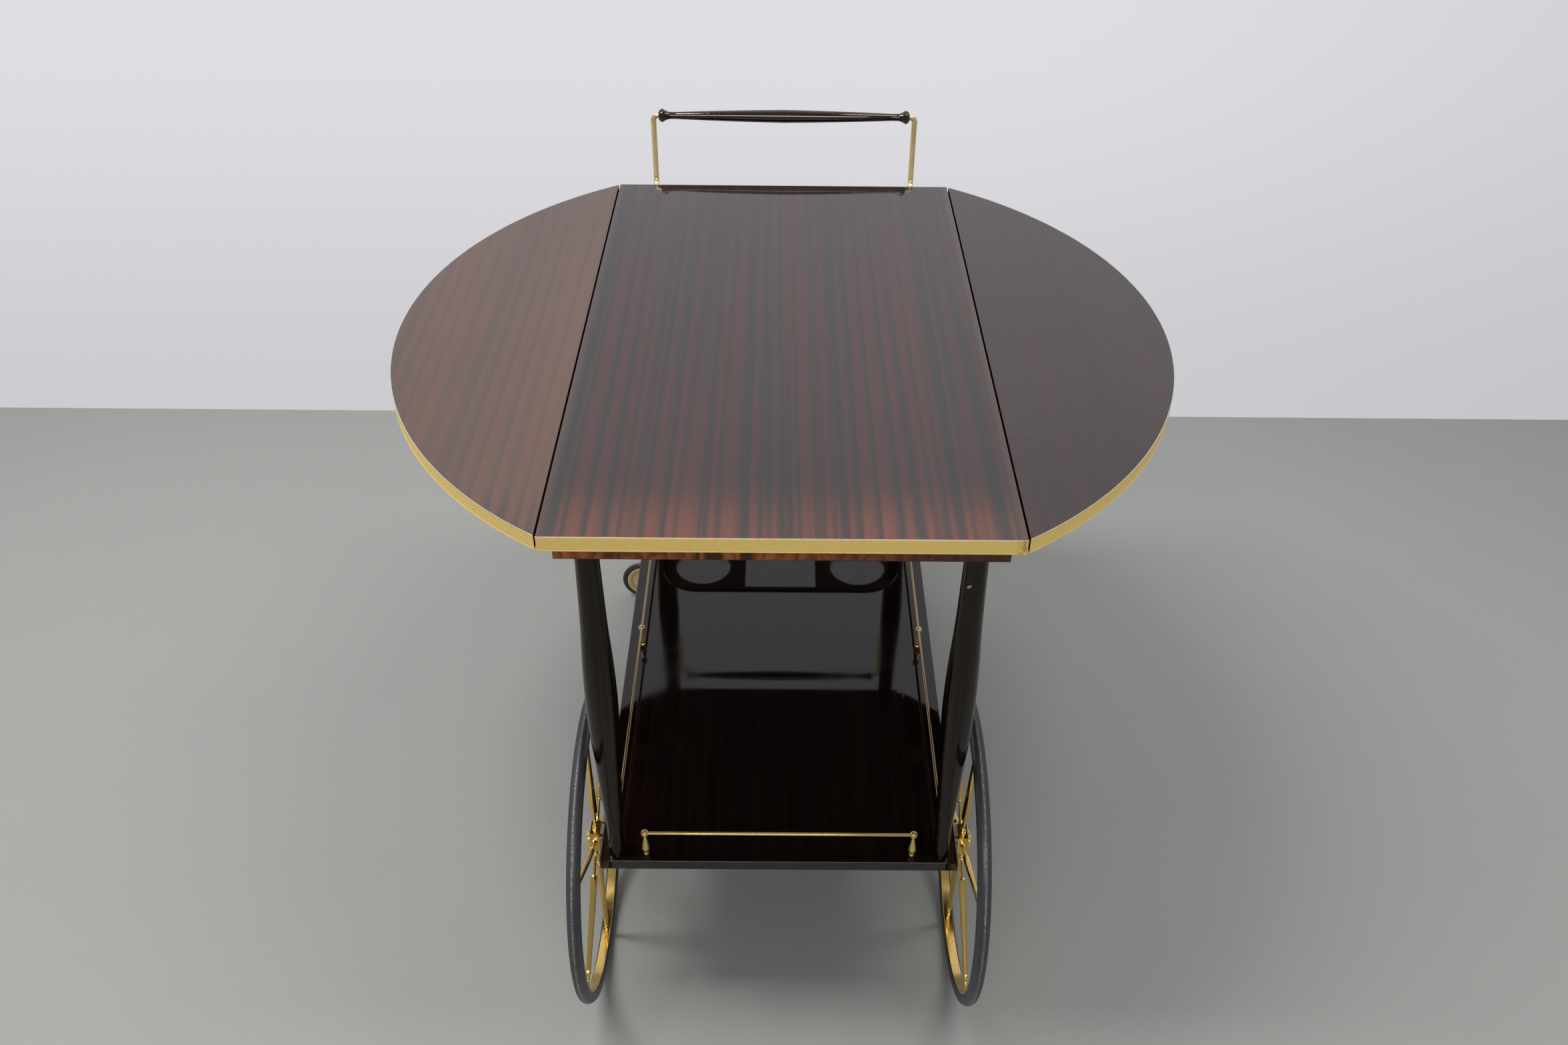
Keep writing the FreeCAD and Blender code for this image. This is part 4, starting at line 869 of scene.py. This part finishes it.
tyre = {
    "ridgeAt": 0.12, "ridgeWidth": 0.10, "ridgeHeight": 0.012, "grooveAt": 1.30, "grooveWidth": 0.06,
    "grooveDepth": 0.045, "gritWidth": 0.13, "outerSoft": 0.05,
}


def tyreProfile(middle, roundness, seat, outward, points=64):
    # round section down to its seat with a low ridge in the middle of the running face and a fine groove on
    # each shoulder; outward is +1 where the section's outer side lies at +Z before it is turned
    end = math.acos((seat - middle) / roundness)
    angle = np.linspace(-end, end, points)
    off = angle - tyre["ridgeAt"] * outward
    ridge = np.exp(-(off / tyre["ridgeWidth"])**2)
    groove = np.exp(-((np.abs(angle) - tyre["grooveAt"]) / tyre["grooveWidth"])**2)
    section = roundness * (1 - tyre["ridgeHeight"] * (1 - ridge) - tyre["grooveDepth"] * groove)
    outer = 1 / (1 + np.exp(-(angle * outward - tyre["ridgeAt"]) / tyre["outerSoft"]))
    marks = {"tread": np.exp(-(off / tyre["gritWidth"])**2), "outer": outer}
    return np.column_stack([middle + section * np.cos(angle), section * np.sin(angle)]), marks


def makeTyre(name, section, at, turn, body, node, steps):
    profile, marks = tyreProfile(*section)
    shell = moved(turnedShell(profile, steps, loop=True), at, turn)
    marks = {label: np.repeat(values, steps) for label, values in marks.items()}
    makePiece(name, [shell], "rubber", body, [node], marks=marks)


for side, sign in sides:
    at, body, label = np.array(wheel["at"]) * (sign, 1, 1), "wheel_" + side, side.title()
    makePiece("wheelHub" + label, [moved(hubShell(side), at)], "gold", body, ["wheel_hub_" + side])
    spoke = turnedShell(wheel["spoke"], wheel["spokeSteps"])
    spokes = [moved(spoke, at, spokeWay(side, index)) for index in range(wheel["spokes"])]
    makePiece("wheelSpokes" + label, spokes, "gold", body, ["wheel_spokes_" + side],
              sharp=wheel["spokeSharp"])
    rim = moved(turnedShell(rimProfile(), wheel["steps"], loop=True), at, alongX)
    makePiece("wheelRim" + label, [rim], "gold", body, ["wheel_rim_" + side],
              sharp=wheel["rimSharp"])
    section = (wheel["tyreMiddle"], wheel["tyreRound"], wheel["seat"], sign)
    makeTyre("wheelTyre" + label, section, at, alongX, body, "wheel_tyre_" + side, wheel["steps"])
axle = {  # bar is radius, low end, high end and rounded edge
    "bar": (4.5, -218.3, 218.3, 0.5), "barSteps": 48, "capStart": 215.3, "capSteps": 40,
    "cap": [(0.5, 0), (11.3, 0), (11.5, 0.2), (11.5, 1.8), (11.3, 2.0), (10.2, 2.05), (10.0, 2.3), (9.3, 3.4),
            (8.1, 4.6), (6.4, 5.5), (4.4, 5.95), (3.6, 6.0), (0.5, 6.0)],
}
bar = moved(turnedShell(roundedBar(*axle["bar"]), axle["barSteps"]), (0, *wheel["at"][1:]), alongX)
makePiece("axle", [bar], "steel", "frame", ["axle"])
capAt = (axle["capStart"], *wheel["at"][1:])
points, faces = moved(turnedShell(axle["cap"], axle["capSteps"]), capAt, alongX)
caps = [(points * (sign, 1, 1), faces) for side, sign in sides]
makePiece("axleCaps", caps, "brass", "frame", ["axle_caps"])
print("wheels made")


# casters

caster = {
    "at": (183.0, 338.0), "radius": 34.0, "trail": 33.0, "cheek": (6.9, 9.4), "forkEdge": 0.4,
    # bars are radius, low end, high end and rounded edge
    "crown": (14.0, 74.0, 80.0, 1.2), "stem": (4.0, 79.0, 104.0, 0.5), "pin": (3.0, -10.9, 10.9, 1.0),
    "eye": 6.0, "eyeSteps": 24, "root": 8.0, "rootHeight": 77.0,
    "tyreMiddle": 30.0, "tyreRound": 3.98, "seat": 26.05, "tyreRows": 44, "tyreSteps": 96,
    "face": [(3.05, 6.5), (6.2, 6.5), (6.8, 6.2), (7.0, 5.6), (7.0, 2.9), (7.7, 2.2), (10, 1.9), (15, 1.9),
             (19, 2.3), (21.4, 3.0), (22.4, 3.8), (23.0, 4.35), (23.8, 4.5), (25.0, 4.45), (25.7, 4.1),
             (26.0, 3.4)],
    "hollow": (19.5, 5.0), "discSteps": 72, "crownSteps": 48, "stemSteps": 32, "ferruleSteps": 64,
    "ferrule": [(4.05, 80.3), (9.1, 80.3), (9.5, 80.7), (9.5, 82.4), (9.2, 82.8), (9.2, 114.6), (9.5, 115.0),
                (9.5, 117.6), (9.1, 118), (0.6, 118), (0.6, 104.6), (4.05, 104.6)],
}


def makeDisc(side, hub):
    # one face's profile and its mirror image make a dished wheel, dark in a ring of the hollow
    face, steps = np.array(caster["face"]), caster["discSteps"]
    profile = np.concatenate([face * (1, -1), face[::-1]])
    middle, half = caster["hollow"]
    heightAndHighlight = np.clip(np.abs(profile[:, 0] - middle) / half, 0, 1)
    shell = moved(turnedShell(profile, steps, loop=True), hub, alongY)
    makePiece("casterDisc" + side.title(), [shell], "disc", "caster_wheel_" + side,
              ["caster_disc_" + side], marks={"heightAndHighlight": np.repeat(heightAndHighlight, steps)})


def cheekOutline():
    # tapered plate from the crown to a round eye about the wheel's pin, as (x, z) with the trail along +X
    trail, radius, eye = caster["trail"], caster["radius"], caster["eye"]
    root, top = caster["root"], caster["rootHeight"]
    lean = math.atan2(trail, top - radius)
    angle = np.linspace(math.pi + lean, 2 * math.pi + lean, caster["eyeSteps"])
    tip = np.column_stack([trail + eye * np.cos(angle), radius + eye * np.sin(angle)])
    return np.concatenate([[(-root, top)], tip, [(root, top)]])


flip = Matrix.Rotation(math.pi, 3, "Z")
fork = [turnedShell(roundedBar(*caster["crown"]), caster["crownSteps"]),
        turnedShell(roundedBar(*caster["stem"]), caster["stemSteps"])]
for low, high in (caster["cheek"], [-value for value in caster["cheek"][::-1]]):
    points, faces = slabShell(cheekOutline(), low, high)
    fork.append((points[:, [0, 2, 1]], faces))
for side, sign in sides:
    at, body, label = (sign * caster["at"][0], caster["at"][1], 0), "caster_" + side, side.title()
    hub = (at[0] - caster["trail"], at[1], caster["radius"])
    makePiece("casterFork" + label, [moved(shell, at, flip) for shell in fork], "gold", body,
              ["caster_fork_" + side], bevel=caster["forkEdge"])
    pin = moved(turnedShell(roundedBar(*caster["pin"]), caster["stemSteps"]), hub, alongY)
    makePiece("casterPin" + label, [pin], "gold", body, ["caster_pin_" + side])
    makeDisc(side, hub)
    section = (caster["tyreMiddle"], caster["tyreRound"], caster["seat"], 1, caster["tyreRows"])
    makeTyre("casterTyre" + label, section, hub, alongY, "caster_wheel_" + side, "caster_tyre_" + side,
             caster["tyreSteps"])
    ferrule = moved(turnedShell(caster["ferrule"], caster["ferruleSteps"], loop=True), at)
    makePiece("casterFerrule" + label, [ferrule], "brass", "frame", ["caster_ferrule_" + side])
print("casters made")


# the remaining CAD pieces take a finish by their slot

slotLooks = {"dark_wood": "gripWood", "brass": "bronze", "steel": "steel"}
for subpart in frame["record"]["subparts"]:
    node = frame["nodes"][subpart["node"]]
    if not node.hide_render:
        node.data.materials.clear()
        node.data.materials.append(looks[slotLooks[subpart["material_slot"]]])
print("CAD pieces dressed")


# stage, light and camera

stage = {
    "wallY": 0.88, "wallHalf": 5.0, "wallHigh": 3.4, "wallTopAt": 0.8,
    # painted light on the wall: lighter towards the top, and painted shade towards the right
    "wallLow": (0.60, 0.60, 0.635, 1), "wallLitTop": (0.735, 0.73, 0.77, 1),
    "wallShade": (0.52, 0.52, 0.54, 1), "wallShadeFrom": (0.2, 2.0, 0.0, 0.6), "wallRough": 0.9,
    "floor": (0.352, 0.359, 0.344, 1), "floorDark": (0.316, 0.322, 0.312, 1), "floorHalf": 8.0,
    "cloudScale": 3.0, "cloud": 0.6, "fineScale": 160.0, "fine": 0.4,
    "floorGloss": 0.55, "floorSmudge": 0.2,
    "world": (0.80, 0.81, 0.83, 1), "worldStrength": 0.30, "lampColour": (1.0, 0.99, 0.965),
}


def stagePlane(name, corners, look):
    mesh = bpy.data.meshes.new(name)
    mesh.from_pydata(corners, [], [(0, 1, 2, 3)])
    mesh.materials.append(look)
    plane = bpy.data.objects.new(name, mesh)
    bpy.context.scene.collection.objects.link(plane)


def wallLook():
    # seen and mirrored as its own pale colour, painted lighter towards the top and with painted shade to the
    # right, and clear from behind
    look, place = newLook("paleWall", Roughness=stage["wallRough"])
    tree = look.node_tree
    across, depth, rise = split(place)
    # painted light: the wall is painted lighter towards the top
    high = spread(rise, 0.0, stage["wallTopAt"])
    colour = blend(high, stage["wallLow"], stage["wallLitTop"])
    colour = blend(spread(across, *stage["wallShadeFrom"]), colour, stage["wallShade"])
    feed(tree.nodes["Principled BSDF"].inputs, Base_Color=colour)
    rays = tree.nodes.new("ShaderNodeLightPath").outputs
    direct = larger(rays["Is Camera Ray"], rays["Is Glossy Ray"])
    seen = larger(direct, rays["Is Transmission Ray"])
    shown = addNode("Emission", {"Color": colour}).outputs[0]
    lit = tree.nodes["Principled BSDF"].outputs[0]
    front = addNode("MixShader", {0: seen, 1: lit, 2: shown}).outputs[0]
    back = tree.nodes.new("ShaderNodeNewGeometry").outputs["Backfacing"]
    clear = tree.nodes.new("ShaderNodeBsdfTransparent").outputs[0]
    whole = addNode("MixShader", {0: back, 1: front, 2: clear}).outputs[0]
    tree.links.new(whole, tree.nodes["Material Output"].inputs["Surface"])
    return look


def floorLook():
    look, place = newLook("paleFloor")
    cloud = noise(place, stage["cloudScale"], detail=4)
    fine = noise(place, stage["fineScale"], detail=2)
    both = work("ADD", times(cloud, stage["cloud"]), times(fine, stage["fine"]))
    colour = blend(both, stage["floor"], stage["floorDark"])
    rough = timesPlus(cloud, stage["floorSmudge"], stage["floorGloss"])
    feed(look.node_tree.nodes["Principled BSDF"].inputs, Base_Color=colour, Roughness=rough)
    return look


far, wide, tall = stage["wallY"] + middleY, stage["wallHalf"], stage["wallHigh"]
stagePlane("backWall", [(-wide, far, 0), (wide, far, 0), (wide, far, tall), (-wide, far, tall)], wallLook())
ground = rectangle((stage["floorHalf"], stage["floorHalf"])).tolist()
stagePlane("floor", [(x, y, 0) for x, y in ground], floorLook())

world = bpy.data.worlds.new("room")
bpy.context.scene.world = world
world.use_nodes = True
background = world.node_tree.nodes["Background"].inputs
background["Color"].default_value = stage["world"]
background["Strength"].default_value = stage["worldStrength"]

lamps = {
    "leftStrip": {"at": (-1.25, -0.1, 3.1), "aim": (-0.3, -0.1, 0.3), "size": (0.45, 1.7), "power": 62.0},
    "rightStrip": {"at": (1.15, -0.1, 3.1), "aim": (0.3, -0.1, 0.3), "size": (0.45, 1.7), "power": 28.0},
    "frontLamp": {"at": (-0.2, -3.2, 2.5), "aim": (0, -0.3, 0.5), "size": (1.7, 0.7), "power": 33.0},
}
for name, lamp in lamps.items():
    light = bpy.data.lights.new(name, "AREA")
    light.shape, light.size, light.size_y = "RECTANGLE", *lamp["size"]
    light.energy, light.color = lamp["power"], stage["lampColour"]
    holder = bpy.data.objects.new(name, light)
    bpy.context.scene.collection.objects.link(holder)
    holder.location = Vector(lamp["at"]) + Vector((0, middleY, 0))
    holder.rotation_euler = (Vector(lamp["aim"]) - Vector(lamp["at"])).to_track_quat("-Z", "Y").to_euler()

shot = {
    "lens": 2000 / 2352 * 36, "sensor": 36.0,  # a focal length of 2000 pixels in a picture 2352 wide
    "pitch": 0.6531, "roll": 0.0106, "yaw": 0.0049, "at": (0.00334, -1.29031, 1.39608),
}


def aimCamera():
    data = bpy.data.cameras.new("photoCamera")
    data.lens, data.sensor_width = shot["lens"], shot["sensor"]
    camera = bpy.data.objects.new("photoCamera", data)
    bpy.context.scene.collection.objects.link(camera)
    forward = Vector((0, math.cos(shot["pitch"]), -math.sin(shot["pitch"])))
    up, right = Vector((0, math.sin(shot["pitch"]), math.cos(shot["pitch"]))), Vector((1, 0, 0))
    rolledRight = right * math.cos(shot["roll"]) + up * math.sin(shot["roll"])
    rolledUp = up * math.cos(shot["roll"]) - right * math.sin(shot["roll"])
    turn = Matrix.Rotation(-shot["yaw"], 3, "Z")
    place = Matrix((turn @ rolledRight, turn @ rolledUp, turn @ -forward)).transposed().to_4x4()
    place.translation = turn @ Vector(shot["at"]) + Vector((0, middleY, 0))
    camera.matrix_world = place
    bpy.context.scene.camera = camera


aimCamera()
bpy.context.scene.view_settings.view_transform = "Standard"
print("stage, light and camera set")
